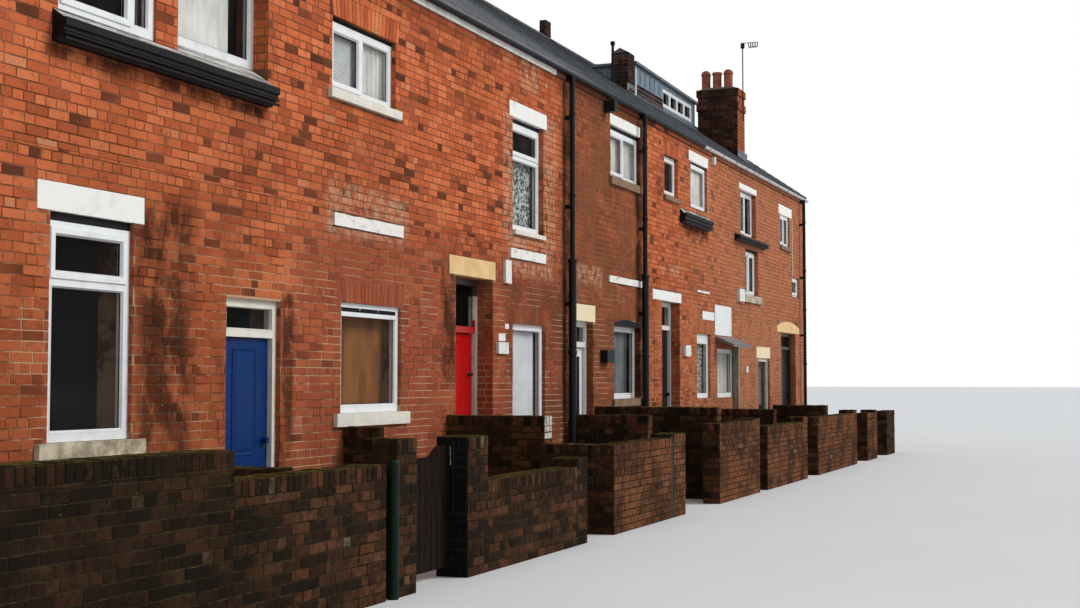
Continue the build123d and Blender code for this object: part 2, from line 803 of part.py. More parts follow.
def roofs():
    """Two slopes that meet at the ridge, the ridge tiles, the fascias and the gutters."""
    low_edge = -EAVES_OVERHANG
    section = [(low_edge, roof_underside(low_edge)), (RIDGE_Y, roof_underside(RIDGE_Y)),
               (RIDGE_Y, roof_top(RIDGE_Y)), (low_edge, roof_top(low_edge))]
    front = along_row(section, 0, ROW_LENGTH)
    keep("roof_front", front - dormer_well())
    mirrored = [(HOUSE_DEPTH - y, z) for y, z in section]
    keep("roof_rear", along_row(mirrored, 0, ROW_LENGTH))
    ridge_high = roof_top(RIDGE_Y)
    reach = RIDGE_TILE_REACH
    drop = SLOPE * reach
    tile = [(RIDGE_Y - reach, ridge_high - drop), (RIDGE_Y, ridge_high),
            (RIDGE_Y + reach, ridge_high - drop),
            (RIDGE_Y + reach, ridge_high - drop + RIDGE_TILE_THICKNESS),
            (RIDGE_Y, ridge_high + RIDGE_TILE_THICKNESS),
            (RIDGE_Y - reach, ridge_high - drop + RIDGE_TILE_THICKNESS)]
    stub_left = HOUSE_STARTS[RIDGE_STUB_HOUSE] + RIDGE_STUB_LEFT
    keep("ridge_tiles", along_row(tile, 0, stub_left),
         along_row(tile, stub_left + RIDGE_STUB_WIDTH, ROW_LENGTH))
    for flip in (False, True):
        fascia_top = roof_underside(-FASCIA_THICKNESS)
        fascia = block(0, ROW_LENGTH, -FASCIA_THICKNESS, 0, fascia_top - FASCIA_HEIGHT,
                       fascia_top)
        keep("fascia_boards", to_rear(fascia) if flip else fascia)
        keep("gutters", to_rear(gutter()) if flip else gutter())


def to_rear(shape):
    """The same piece at the back of the houses."""
    return Pos(0, HOUSE_DEPTH, 0) * mirror(shape, about=Plane.XZ)


def gutter():
    """A half-round gutter hung on the fascia."""
    centre = Plane.YZ * Pos(GUTTER_Y, GUTTER_RIM)
    ring = Circle(GUTTER_RADIUS) - Circle(GUTTER_RADIUS - GUTTER_SKIN)
    width = 2 * (GUTTER_RADIUS + CUT)
    upper = Rectangle(width, width, align=(Align.CENTER, Align.MIN))
    return extrude(centre * (ring - upper), amount=ROW_LENGTH)


def downpipe(house, left, has_soil_pipe):
    """A pipe from under the gutter to the ground, with clips that reach the wall."""
    x = HOUSE_STARTS[house] + left
    top = GUTTER_RIM - GUTTER_RADIUS - PIPE_SOCKET_GAP
    pipe = upright(PIPE_RADIUS, x, -PIPE_STANDOFF, 0, top)
    pipe += block(x - PIPE_RADIUS, x + PIPE_RADIUS, -PIPE_STANDOFF, GUTTER_Y + PIPE_RADIUS,
                  top - 2 * PIPE_RADIUS, top)
    if has_soil_pipe:
        pipe += upright(SOIL_PIPE_RADIUS, x, -PIPE_STANDOFF, 0, SOIL_PIPE_TOP)
    for height in PIPE_CLIPS:
        pipe += block(x - PIPE_CLIP_WIDTH / 2, x + PIPE_CLIP_WIDTH / 2, -PIPE_STANDOFF, 0,
                      height, height + PIPE_CLIP_HEIGHT)
    return pipe


def downpipes():
    keep("downpipes", *[downpipe(*pipe) for pipe in FRONT_PIPES])
    keep("downpipes", *[to_rear(downpipe(*pipe)) for pipe in REAR_PIPES])
    waste_x = HOUSE_STARTS[WASTE_HOUSE] + WASTE_LEFT
    keep("downpipes", upright(WASTE_RADIUS, waste_x, -WASTE_RADIUS, WASTE_LOW, WASTE_HIGH))


def dormer_sides():
    left = HOUSE_STARTS[DORMER_HOUSE] + DORMER_LEFT
    stack_left = HOUSE_STARTS[DORMER_HOUSE + 1] - STACK_WIDTH / 2
    return left, stack_left - CORBEL_PROUD - DORMER_STACK_GAP


def dormer_ceilings():
    """Heights of the underside of the dormer's roof at its left and right."""
    right = roof_top(DORMER_FRONT) + DORMER_CLAD_HEIGHT
    return right + DORMER_FALL, right


def dormer_back(height):
    """Where a level line at a height meets the front slope's slates."""
    return (height - roof_top(0)) / SLOPE


def dormer_well():
    """The hole in the roof that the dormer covers."""
    left, right = dormer_sides()
    _, ceiling = dormer_ceilings()
    front = DORMER_FRONT + DORMER_WALL
    back = dormer_back(ceiling) - DORMER_WALL
    return block(left + DORMER_WALL, right - DORMER_WALL, front, back, WALL_TOP, ceiling)


def dormer_window():
    _, right = dormer_sides()
    _, ceiling = dormer_ceilings()
    left = right - DORMER_WINDOW_RIGHT_GAP - DORMER_WINDOW_WIDTH
    return Window(house=DORMER_HOUSE, left=left - HOUSE_STARTS[DORMER_HOUSE],
                  width=DORMER_WINDOW_WIDTH,
                  sill=roof_top(DORMER_FRONT) + DORMER_WINDOW_RISE,
                  head=ceiling - DORMER_WINDOW_HEAD_DROP, columns=4)


def dormer_slab(thickness, overhang, back):
    """A slab of the dormer's roof over its ceiling, which falls to the right."""
    left, right = dormer_sides()
    high, low = dormer_ceilings()
    slab = Polygon((left - overhang, high), (right + overhang, low),
                   (right + overhang, low + thickness), (left - overhang, high + thickness),
                   align=None)
    return into_depth(slab, DORMER_FRONT - overhang, back)


def dormer():
    left, right = dormer_sides()
    high, low = dormer_ceilings()
    outer = [(DORMER_FRONT, roof_top(DORMER_FRONT)), (dormer_back(high), high),
             (DORMER_FRONT, high)]
    shell = along_row(outer, left, right)
    inside = block(left + DORMER_WALL, right - DORMER_WALL, DORMER_FRONT + DORMER_WALL,
                   dormer_back(high) + CUT, WALL_TOP, high + CUT)
    window = dormer_window()
    frame_front = DORMER_FRONT + (DORMER_WALL - FRAME_DEPTH) / 2
    frame_back = frame_front + FRAME_DEPTH
    hole = window_hole(window, DORMER_FRONT - CUT, DORMER_FRONT + DORMER_WALL + CUT)
    above = dormer_slab(high - low + CUT, DORMER_OVERHANG, dormer_back(high) + CUT)
    keep("dormer_walls", shell - [inside, hole, above])
    keep("dormer_frame", window_frame(window, frame_front, frame_back))
    keep("dormer_glass", *window_panes(window, frame_front, frame_back))
    roof = dormer_slab(DORMER_ROOF_THICKNESS, DORMER_OVERHANG,
                       dormer_back(high + DORMER_ROOF_THICKNESS))
    keep("dormer_roof", roof - front_roof_body())


def front_roof_body():
    """All that lies under the front slope's slates, for trimming what sits on them."""
    section = [(-EAVES_OVERHANG, 0), (RIDGE_Y, 0), (RIDGE_Y, roof_top(RIDGE_Y)),
               (-EAVES_OVERHANG, roof_top(-EAVES_OVERHANG))]
    return along_row(section, -CUT, ROW_LENGTH + CUT)


def seated(left, right, front, back, high):
    """A stack that stands on the front slope."""
    return block(left, right, front, back, WALL_TOP, high) - front_roof_body()


def chimneys():
    middle = HOUSE_STARTS[DORMER_HOUSE + 1]
    left = middle - STACK_WIDTH / 2
    right = middle + STACK_WIDTH / 2
    back = STACK_FRONT + STACK_DEPTH
    stack = seated(left, right, STACK_FRONT, back, STACK_TOP)
    for high in (STACK_TOP, STACK_TOP - CORBEL_STEP):
        stack += block(left - CORBEL_PROUD, right + CORBEL_PROUD, STACK_FRONT - CORBEL_PROUD,
                       back + CORBEL_PROUD, high - CORBEL_HEIGHT, high)
    keep("chimney_stack", stack)
    pot_top = STACK_TOP + POT_HEIGHT
    for index, domed in enumerate(POT_DOMED):
        y = STACK_FRONT + POT_FIRST + index * POT_PITCH
        pot = upright(POT_RADIUS, middle, y, STACK_TOP, pot_top)
        if domed:
            dome = Sphere(POT_CAP_RADIUS, 0, align=(Align.CENTER, Align.CENTER, Align.MIN))
            pot += Pos(middle, y, pot_top) * dome
        else:
            pot += upright(POT_CAP_RADIUS, middle, y, pot_top, pot_top + POT_RIM_HEIGHT)
        keep("chimney_pots", pot)
    party_line = HOUSE_STARTS[DORMER_HOUSE]
    side_left = party_line + SIDE_STACK_LEFT
    side_right = side_left + SIDE_STACK_WIDTH
    side_back = SIDE_STACK_FRONT + SIDE_STACK_DEPTH
    side = seated(side_left, side_right, SIDE_STACK_FRONT, side_back, SIDE_STACK_TOP)
    hood = [(SIDE_STACK_FRONT, SIDE_STACK_TOP), (side_back, SIDE_STACK_TOP),
            ((SIDE_STACK_FRONT + side_back) / 2, SIDE_STACK_TOP + SIDE_STACK_HOOD)]
    keep("small_stacks", side + along_row(hood, side_left, side_right))
    stub_left = HOUSE_STARTS[RIDGE_STUB_HOUSE] + RIDGE_STUB_LEFT
    half = RIDGE_STUB_DEPTH / 2
    ridge_high = roof_top(RIDGE_Y)
    low = roof_top(RIDGE_Y - half)
    stub = [(RIDGE_Y - half, low), (RIDGE_Y, ridge_high), (RIDGE_Y + half, low),
            (RIDGE_Y + half, ridge_high + RIDGE_STUB_RISE),
            (RIDGE_Y - half, ridge_high + RIDGE_STUB_RISE)]
    keep("small_stacks", along_row(stub, stub_left, stub_left + RIDGE_STUB_WIDTH))


def aerial():
    """A mast bracketed to the big stack, with an arm that points over the street."""
    x = HOUSE_STARTS[DORMER_HOUSE + 1] - MAST_ASIDE
    y = STACK_FRONT - CORBEL_PROUD - MAST_STANDOFF
    mast = upright(MAST_RADIUS, x, y, MAST_LOW, MAST_TOP)
    arm = block(x - MAST_RADIUS / 2, x + MAST_RADIUS / 2, y - ARM_LENGTH, y,
                MAST_TOP - MAST_RADIUS, MAST_TOP)
    bracket_high = STACK_TOP - MAST_BRACKET_DROP
    bracket = block(x - MAST_RADIUS, x + MAST_RADIUS, y, STACK_FRONT - CORBEL_PROUD,
                    bracket_high - MAST_RADIUS, bracket_high)
    keep("aerial", mast + arm + bracket)


def vent_pipe():
    x = HOUSE_STARTS[DORMER_HOUSE] + VENT_LEFT
    pipe = upright(VENT_RADIUS, x, VENT_Y, WALL_TOP, VENT_TOP) - front_roof_body()
    cowl = upright(VENT_COWL_RADIUS, x, VENT_Y, VENT_TOP - VENT_COWL_HEIGHT, VENT_TOP)
    keep("vent_pipe", pipe + cowl)


def on_wall(house, left, width, low, high, reach):
    start = HOUSE_STARTS[house] + left
    return block(start, start + width, -reach, 0, low, high)


def wall_fittings():
    keep("wall_boxes", *[on_wall(*box) for box in WALL_BOXES])
    keep("wall_boards", *[on_wall(*board) for board in WALL_BOARDS])
    left = HOUSE_STARTS[DORMER_HOUSE] + CANOPY_LEFT
    right = left + CANOPY_WIDTH
    section = [(0, CANOPY_HIGH), (-CANOPY_REACH, CANOPY_LOW),
               (-CANOPY_REACH, CANOPY_LOW - CANOPY_THICKNESS), (0, CANOPY_HIGH - CANOPY_THICKNESS)]
    keep("window_canopy", along_row(section, left, right))
    slope = (CANOPY_HIGH - CANOPY_LOW) / CANOPY_REACH
    under = CANOPY_HIGH - CANOPY_THICKNESS
    board = [(0, 0), (0, under), (-CANOPY_BOARD_REACH, under - slope * CANOPY_BOARD_REACH),
             (-CANOPY_BOARD_REACH, 0)]
    keep("canopy_board", along_row(board, right - CANOPY_BOARD_WIDTH, right))


def yard_block(piece, front, back):
    left = HOUSE_STARTS[piece.house] + piece.left
    return block(left, left + piece.width, front, back, 0, piece.top)


def yards():
    """The front walls with their piers, and the walls between the yards."""
    keep("garden_piers", *[yard_block(pier, YARD_FRONT, YARD_FRONT + PIER_DEPTH)
                           for pier in PIERS])
    walls = [yard_block(wall, YARD_FRONT, YARD_FRONT + YARD_WALL) for wall in YARD_WALLS]
    keep("garden_walls", walls[0] + walls[1:])
    for divider in DIVIDERS:
        keep("garden_dividers", yard_block(divider, -divider.length, 0))
    keep("garden_dividers", yard_block(RETURN_WALL, YARD_FRONT + YARD_WALL, -DOOR_WALL_LENGTH))


def gate_sides():
    """The faces of the two piers that the gate hangs between."""
    left_pier, right_pier = PIERS[0], PIERS[1]
    left = HOUSE_STARTS[left_pier.house] + left_pier.left + left_pier.width
    right = HOUSE_STARTS[right_pier.house] + right_pier.left
    return left, right


def gate_pivot():
    _, right = gate_sides()
    back = YARD_FRONT + GATE_SETBACK + GATE_BOARD + GATE_LEDGE
    return right - GATE_PIVOT_INSET, back + GATE_KNUCKLE_RADIUS


def gate():
    """A boarded gate whose top rises in an S towards its hinges, with ledges behind it."""
    opening_left, opening_right = gate_sides()
    left = opening_left + GATE_CLEARANCE
    right = opening_right - GATE_CLEARANCE
    front = YARD_FRONT + GATE_SETBACK
    back = front + GATE_BOARD
    low_end = (left + GATE_LOW_FLAT, GATE_LOW_TOP)
    high_end = (right - GATE_HIGH_FLAT, GATE_HIGH_TOP)
    outline = [
        Polyline(low_end, (left, GATE_LOW_TOP), (left, GATE_BOTTOM), (right, GATE_BOTTOM),
                 (right, GATE_HIGH_TOP), high_end),
        Spline(high_end, low_end, tangents=((-1, 0), (-1, 0))),
    ]
    leaf = into_depth(make_face(outline), front, back)
    pivot_x, pivot_y = gate_pivot()
    for height in GATE_LEDGES:
        leaf += block(left, right, back, back + GATE_LEDGE, height,
                      height + GATE_LEDGE_HEIGHT)
        strap = block(pivot_x - HINGE_PLATE_REACH, pivot_x, back + GATE_LEDGE,
                      pivot_y, height, height + GATE_KNUCKLE_HEIGHT)
        knuckle = upright(GATE_KNUCKLE_RADIUS, pivot_x, pivot_y, height,
                          height + GATE_KNUCKLE_HEIGHT)
        leaf += strap + knuckle
        bracket_high = height - KNUCKLE_GAP
        keep("gate_hinges", block(pivot_x - GATE_KNUCKLE_RADIUS, opening_right,
                                  pivot_y - GATE_KNUCKLE_RADIUS, pivot_y + GATE_KNUCKLE_RADIUS,
                                  bracket_high - GATE_BRACKET_HEIGHT, bracket_high))
    keep("garden_gate", leaf)


def yard_posts():
    left = HOUSE_STARTS[SQUARE_POST_HOUSE] + SQUARE_POST_LEFT
    keep("garden_posts", block(left, left + SQUARE_POST_SIDE, YARD_FRONT,
                               YARD_FRONT + SQUARE_POST_SIDE, 0, SQUARE_POST_TOP))
    pier_left = HOUSE_STARTS[PIERS[0].house] + PIERS[0].left
    keep("garden_posts", upright(ROUND_POST_RADIUS, pier_left - ROUND_POST_RADIUS,
                                 YARD_FRONT + ROUND_POST_Y, 0, ROUND_POST_TOP))


def report_places():
    """Prints the joint places and room sizes in metres in the finished frame."""
    shift = MIDDLE.position
    for door in DOORS[1:]:
        x, y, side = door_pivot(door)
        print("door", door.house, "pivot", round((x + shift.X) / 1000, 5),
              round((y + shift.Y) / 1000, 5), "side", side)
    x, y = gate_pivot()
    print("gate pivot", round((x + shift.X) / 1000, 5), round((y + shift.Y) / 1000, 5))
    for house in range(len(HOUSE_WIDTHS)):
        left, right = room_sides(house)
        print("room", house, round((left + shift.X) / 1000, 4), round((right + shift.X) / 1000, 4),
              "y", round((WALL + shift.Y) / 1000, 4), round((REAR_INNER + shift.Y) / 1000, 4),
              "z", HOUSE_FLOORS[house] / 1000, (UPPER_FLOOR_TOP - FLOOR_THICKNESS) / 1000)
    for door in DOORS:
        print("doorway", door.house, "x", round((door_left(door) + shift.X) / 1000, 4),
              round((door_right(door) + shift.X) / 1000, 4), "face y", round(shift.Y / 1000, 4),
              "floor", HOUSE_FLOORS[door.house], "reveal", door.reveal, "head", door.head)
    print("yard front y", round((YARD_FRONT + shift.Y) / 1000, 4), "shift x",
          round(shift.X / 1000, 4))


front_walls()
rear_wall()
cross_walls()
floors()
windows()
sills_and_lintels()
doors()
roofs()
downpipes()
dormer()
chimneys()
aerial()
vent_pipe()
wall_fittings()
yards()
gate()
yard_posts()

os.makedirs("parts", exist_ok=True)
for name, solids in nodes.items():
    export_step(MIDDLE * Compound(solids), f"parts/{name}.step")
report_places()
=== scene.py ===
import math
import random
from collections import namedtuple

import bmesh
import bpy
import numpy as np
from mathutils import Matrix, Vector, noise


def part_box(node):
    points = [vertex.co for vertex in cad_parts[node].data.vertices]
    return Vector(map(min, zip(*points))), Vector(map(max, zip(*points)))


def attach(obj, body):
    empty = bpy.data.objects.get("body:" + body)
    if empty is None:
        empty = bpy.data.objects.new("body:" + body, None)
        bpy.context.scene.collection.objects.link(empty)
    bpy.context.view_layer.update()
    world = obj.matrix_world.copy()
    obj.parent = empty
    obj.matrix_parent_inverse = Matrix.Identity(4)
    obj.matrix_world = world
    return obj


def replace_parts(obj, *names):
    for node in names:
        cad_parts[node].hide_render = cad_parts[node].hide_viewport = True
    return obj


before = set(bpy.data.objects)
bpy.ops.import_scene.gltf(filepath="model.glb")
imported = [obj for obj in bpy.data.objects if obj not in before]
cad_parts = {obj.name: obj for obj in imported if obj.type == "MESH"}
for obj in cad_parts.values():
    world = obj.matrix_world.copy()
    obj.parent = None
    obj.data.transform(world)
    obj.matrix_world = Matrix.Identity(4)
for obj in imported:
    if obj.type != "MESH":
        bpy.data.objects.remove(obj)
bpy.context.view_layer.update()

# The looks of a brick terrace of seven house bays with walled front yards, in metres.
# x runs along the row, y from the street into the houses, z is up and 0 at the pavement.

# The photograph's view and its light
CAMERA_BEFORE_FACE = 7.106
CAMERA_X = -19.811
CAMERA_Z = 1.6
CAMERA_TURN = 21.8
CAMERA_PITCH = 2.94
CAMERA_LENS = 50
SENSOR_WIDTH = 36
SKY_COLOR = (0.90, 0.94, 1.0, 1)
SKY_STRENGTH = 0.62

WELD_DISTANCE = 1e-5

# Brickwork
COURSE = 0.075
BRICK_HEIGHT = 0.067
STRETCHER = 0.225
HEADER = 0.1125
JOINT = 0.008
PROUD = 0.0035
CHAMFER = 0.0025
BEHIND_MORTAR_FACE = -0.002
BRICK_UNEVEN = 0.0012
LENGTH_UNEVEN = 0.003
SMALLEST_BRICK = 0.018
HEADER_COURSE_EVERY = 5
HEADER_SHIFT = 0.37
SHORT_BRICK_SHARE = 0.05
REVEAL_START = 0.003
REVEAL_PROUD = 0.0016
GABLE_BELOW_RIDGE = 0.2
COPING_HEIGHT = 0.106
COPING_UNEVEN = 0.004
WALL_TOP = 5.78
WALL_STEP_FROM_END = 2.290
LOWER_WALL_TOP = 0.990
ARCH_HEIGHT = 0.225
ARCH_REACH = 0.06
ARCH_LEAN = 0.30
ARCH_OVERRUN = 0.03
ARCHED_HEAD = 0.10
STONE_NODES = ("lintels_painted", "lintels_stone", "window_sills", "boxed_ledges",
               "wall_stubs")

# Slates, the stacks and the dormer
PITCH = math.radians(34.8)
SLATE_WIDTH = 0.25
SLATE_GAUGE = 0.19
SLATE_OVERLAP = 0.03
SLATE_GAP = 0.004
SMALLEST_SLATE = 0.03
SLATE_THICK = 0.009
SLATE_UNEVEN = 0.003
SLATE_FOOT = 0.0005
SLATE_UPPER_EDGE = 0.001
CORBEL_PROUD = 0.025
CORBEL_BANDS = ((7.31, 7.46), (7.61, 7.76))
SIDE_STACK_TOP = 7.62
DORMER_BRICK_TOP = 7.14
SEAM_STEP = 0.3
SEAM_HALF_WIDTH = 0.008
RIDGE_TILE_LENGTH = 0.45
# Each apron's fall: how far before the stack and how far over the slates.
APRON_FALL = ((0.16, 0.013), (0.08, 0.016), (0.0, 0.018))
APRON_OVERHANG = 0.08
APRONS = (("chimney_stack", 0.16), ("small_stacks", 0.16), ("dormer_walls", 0.05))
# The cement round the pots: how far inside the stack and how far over it.
FLAUNCHING_RINGS = ((0.0, 0.0), (0.02, 0.018), (0.14, 0.07), (0.2, 0.085))

# Glass, sashes and cloth
SLAT_BEHIND_GLASS = 0.05
FINE_SLAT_BEHIND_GLASS = 0.022
CLOTH_MARGIN = 0.004
CLOTH_ABOVE_SILL = 0.01
VENT_SLOTS = 3
SLAT_PITCH = 0.082
SLAT_HALF_WIDTH = 0.044
FINE_SLAT_PITCH = 0.022
FINE_SLAT_HALF_WIDTH = 0.0125

# Each profile goes round a rectangle: how far inside its edge and how far out of the plane.
FIXED_BEAD = ((-0.001, -0.003), (0.001, 0.0015), (0.009, 0.0015), (0.022, -0.017),
              (0.022, -0.0249))
OPEN_SASH = ((-0.017, -0.002), (-0.017, 0.009), (-0.013, 0.013), (0.026, 0.013),
             (0.030, 0.011), (0.044, -0.010), (0.044, -0.0249))
FIXED_SEAL = ((0.0212, -0.0162), (0.0255, -0.0225), (0.0275, -0.0247))
OPEN_SEAL = ((0.0432, -0.0092), (0.0475, -0.0215), (0.0500, -0.0247))
PANEL = ((0.0, -0.0005), (0.003, 0.006), (0.011, 0.008), (0.018, 0.0035), (0.026, 0.001),
         (0.034, 0.001), (0.060, 0.0055))
GLAZING = ((0.0, -0.0005), (0.003, 0.007), (0.014, 0.007), (0.022, 0.002), (0.022, 0.001))
PANE_ON_LEAF = ((0.02, 0.0004), (0.02, 0.0022), (0.022, 0.0026))
LATCH_ROSE = ((0.030, -0.0005), (0.030, 0.006), (0.026, 0.009), (0.014, 0.010),
              (0.013, 0.034), (0.019, 0.040), (0.019, 0.052), (0.012, 0.056))

# The lights that open: storey, window and pane, from the left.
OPENING_LIGHTS = {("ground", 0, 1), ("upper", 0, 0), ("upper", 2, 0), ("upper", 3, 1),
                  ("upper", 4, 0), ("upper", 5, 0), ("upper", 7, 0), ("upper", 8, 1),
                  ("upper", 9, 0), ("upper", 10, 0)}

# Doors
KNOB_REACH = 0.055
LEAF_GAP = 0.008
MIDDLE_RAIL_SHARE = 0.42
HALF_MIDDLE_RAIL = 0.09
BOTTOM_RAIL = 0.18
TOP_RAIL = 0.085
GLAZED_STILE = 0.09
GLAZED_PANEL_HEIGHT = 0.30

# Eaves, pipes, gate and aerial
STRAP_STEP = 0.9
STRAPS_A_COLLAR = 4
STRAP_HALF_WIDTH = 0.012
STRAP_RADIUS = 0.0445
COLLAR_HALF_WIDTH = 0.045
COLLAR_RADIUS = 0.0455
COLLAR_FROM_STRAP = 0.4
PIPE_FROM_WALL = 0.105
PIPE_JOINTS = ((0.55, 0.060), (1.95, 0.060), (3.17, 0.064), (4.05, 0.043), (5.15, 0.043))
THIN_PIPE_COLLAR = 0.043
COLLAR_RINGS = ((-0.012, 0.0), (0.0, 0.006), (0.0, 0.05), (-0.005, 0.058), (-0.012, 0.06))
GATE_BOARDS = 9
GATE_LOW_FLAT = 0.545
GATE_HIGH_FLAT = 0.110
GATE_LOW_TOP = 0.990
GATE_HIGH_TOP = 1.075
LATCH_Y = -4.388
STRIP_Y = -4.411
STRIP_SCREWS = (0.62, 0.974)
MAST_STANDOFF = 0.035
COIL_RADIUS = 0.05
COIL_STEPS = 49
POST_CAP_RINGS = ((1.0, -0.03), (1.03, -0.025), (1.03, 0.0), (0.95, 0.008), (0.7, 0.018),
                  (0.3, 0.023))

# Ledges: where each band starts and ends up the board, and how far it stands out.
LEDGE_BANDS = ((0.62, 0.985, 0.016), (0.26, 0.36, 0.010), (0.02, 0.14, 0.014))
LEDGE_FACE_SHARE = 0.69

Flat = namedtuple("Flat", "origin along up out")
random.seed(11)


# Reading the frame

def welded(node):
    """A node's mesh to work on, with the corners that lie on each other joined."""
    work = bmesh.new()
    work.from_mesh(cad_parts[node].data)
    bmesh.ops.remove_doubles(work, verts=work.verts, dist=WELD_DISTANCE)
    return work


def solids_of(node):
    """The boxes (low, high) of a node's separate solids, from left to right."""
    work = welded(node)
    unseen = set(work.verts)
    boxes = []
    while unseen:
        edge_of_search = [unseen.pop()]
        found = list(edge_of_search)
        while edge_of_search:
            vert = edge_of_search.pop()
            for edge in vert.link_edges:
                other = edge.other_vert(vert)
                if other in unseen:
                    unseen.remove(other)
                    edge_of_search.append(other)
                    found.append(other)
        points = np.array([tuple(vert.co) for vert in found])
        boxes.append((Vector(points.min(0)), Vector(points.max(0))))
    work.free()
    boxes.sort(key=lambda box: (round(box[0].x, 4), round(box[0].z, 4)))
    return boxes


def front_ones(boxes):
    """The boxes on the street side of the houses."""
    return [box for box in boxes if box[0].y < 0]


def rear_ones(boxes):
    return [box for box in boxes if box[0].y > 0]


def rect_of(box):
    """A box's place in the plane of the street face: left, right, low, high."""
    return box[0].x, box[1].x, box[0].z, box[1].z


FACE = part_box("front_wall_ground")[0].y
REAR_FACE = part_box("rear_wall")[1].y
ROW_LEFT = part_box("front_wall_ground")[0].x
ROW_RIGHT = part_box("front_wall_ground")[1].x
WALL_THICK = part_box("front_wall_ground")[1].y - FACE
STOREY_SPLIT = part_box("front_wall_ground")[1].z
ROOF_LOW, ROOF_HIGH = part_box("roof_front")
BRICK_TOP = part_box("fascia_boards")[0].z
PARTY_LINES = [(box[0].x + box[1].x) / 2 for box in solids_of("party_walls")]
POSTS = solids_of("door_posts")


def windows_at(storey, side):
    """Each window of a storey on one side, from the left: its frame and the panes in it."""
    found = []
    panes = side(solids_of("window_glass_" + storey))
    for low, high in side(solids_of("window_frames_" + storey)):
        inside = [pane for pane in panes
                  if low.x < pane[0].x < pane[1].x < high.x
                  and low.z < pane[0].z < pane[1].z < high.z]
        found.append(((low, high), inside))
    return found


GROUND = windows_at("ground", front_ones)
UPPER = windows_at("upper", front_ones)
REAR_WINDOWS = windows_at("ground", rear_ones) + windows_at("upper", rear_ones)


# Making meshes

class Mesh:
    """Gathers faces, each with a tone from 0 to 1, and turns them into one piece."""

    def __init__(self):
        self.points = []
        self.faces = []
        self.tones = []

    def add(self, points, faces, tone=0.5):
        start = len(self.points)
        self.points.extend(tuple(point) for point in points)
        self.faces.extend(tuple(start + index for index in face) for face in faces)
        self.tones.extend([tone] * len(faces))

    def box(self, low, high, edge):
        """A block with its edges cut off by a small chamfer."""
        (x0, y0, z0), (x1, y1, z1) = low, high
        loops = []
        for inset, z in ((edge, z0), (0, z0 + edge), (0, z1 - edge), (edge, z1)):
            loops.append(octagon(x0 + inset, x1 - inset, y0 + inset, y1 - inset, z, edge))
        self.rings(loops, cap_first=True, cap_last=True)

    def rings(self, loops, closed=True, cap_first=False, cap_last=False, tone=0.5):
        """Joins loops of the same number of points, one after the other."""
        count = len(loops[0])
        points = [point for loop in loops for point in loop]
        faces = []
        around = count if closed else count - 1
        for row in range(len(loops) - 1):
            for index in range(around):
                following = (index + 1) % count
                faces.append((row * count + index, row * count + following,
                              (row + 1) * count + following, (row + 1) * count + index))
        if cap_first:
            faces.append(tuple(reversed(range(count))))
        if cap_last:
            faces.append(tuple(range((len(loops) - 1) * count, len(loops) * count)))
        self.add(points, faces, tone)

    def done(self, name, material, slot, body="row", smooth=False):
        mesh = toned_mesh(name, self.points, self.faces, self.tones)
        return finished_piece(name, mesh, material, body, smooth)


def toned_mesh(name, points, faces, tones):
    """A mesh that keeps a tone for each face, for its paint to read."""
    mesh = bpy.data.meshes.new(name)
    mesh.from_pydata(points, [], faces)
    values = mesh.attributes.new("tone", "FLOAT", "FACE")
    values.data.foreach_set("value", np.array(tones, np.float32))
    return mesh


def finished_piece(name, mesh, material, body="row", smooth=False):
    mesh.materials.append(material)
    if smooth:
        mesh.polygons.foreach_set("use_smooth", [True] * len(mesh.polygons))
    mesh.update()
    piece = bpy.data.objects.new(name, mesh)
    bpy.context.scene.collection.objects.link(piece)
    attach(piece, body)
    return piece


def octagon(x0, x1, y0, y1, z, cut):
    """A rectangle with cut corners at a height, anticlockwise from above."""
    return [(x0 + cut, y0, z), (x1 - cut, y0, z), (x1, y0 + cut, z), (x1, y1 - cut, z),
            (x1 - cut, y1, z), (x0 + cut, y1, z), (x0, y1 - cut, z), (x0, y0 + cut, z)]


def on_flat(flat, u, v, out):
    """A point of a flat surface: u along it, v up it and out from it."""
    return flat.origin + flat.along * u + flat.up * v + flat.out * out


def corners_of(left, right, low, high):
    """A rectangle's corners, anticlockwise from outside."""
    return (left, low), (right, low), (right, high), (left, high)


def rect_sweep(mesh, flat, rect, profile, cap=False):
    """Carries a profile of (inset, out) points round a rectangle with mitred corners."""
    left, right, low, high = rect
    loops = []
    for inset, out in profile:
        corners = corners_of(left + inset, right - inset, low + inset, high - inset)
        loops.append([on_flat(flat, u, v, out) for u, v in corners])
    mesh.rings(loops, cap_last=cap)


def evenly(left, right, step, fewest):
    """Places from left to right about a step apart."""
    count = max(fewest, round((right - left) / step))
    return [left + (right - left) * index / count for index in range(count + 1)]


def circle(radius, sides):
    """Points (across, up) round a circle."""
    angles = [step * math.pi / (sides / 2) for step in range(sides)]
    return [(radius * math.cos(angle), radius * math.sin(angle)) for angle in angles]


def tube(mesh, path, radius, sides):
    """A round bar along a path."""
    loops = []
    for index, point in enumerate(path):
        before = Vector(path[max(index - 1, 0)])
        after = Vector(path[min(index + 1, len(path) - 1)])
        run = (after - before).normalized()
        side = run.cross(Vector((0.13, 0.57, 0.81))).normalized()
        other = run.cross(side)
        loops.append([Vector(point) + side * radius * math.cos(2 * math.pi * step / sides)
                      + other * radius * math.sin(2 * math.pi * step / sides)
                      for step in range(sides)])
    mesh.rings(loops, cap_first=True, cap_last=True)


def flat_of(origin, along, up, out):
    return Flat(Vector(origin), Vector(along), Vector(up), Vector(out))


def street_plane(y):
    """An upright plane that faces the street."""
    return flat_of((0, y, 0), (1, 0, 0), (0, 0, 1), (0, -1, 0))


def rear_plane(y):
    return flat_of((0, y, 0), (-1, 0, 0), (0, 0, 1), (0, 1, 0))


def left_plane(x):
    return flat_of((x, 0, 0), (0, -1, 0), (0, 0, 1), (-1, 0, 0))


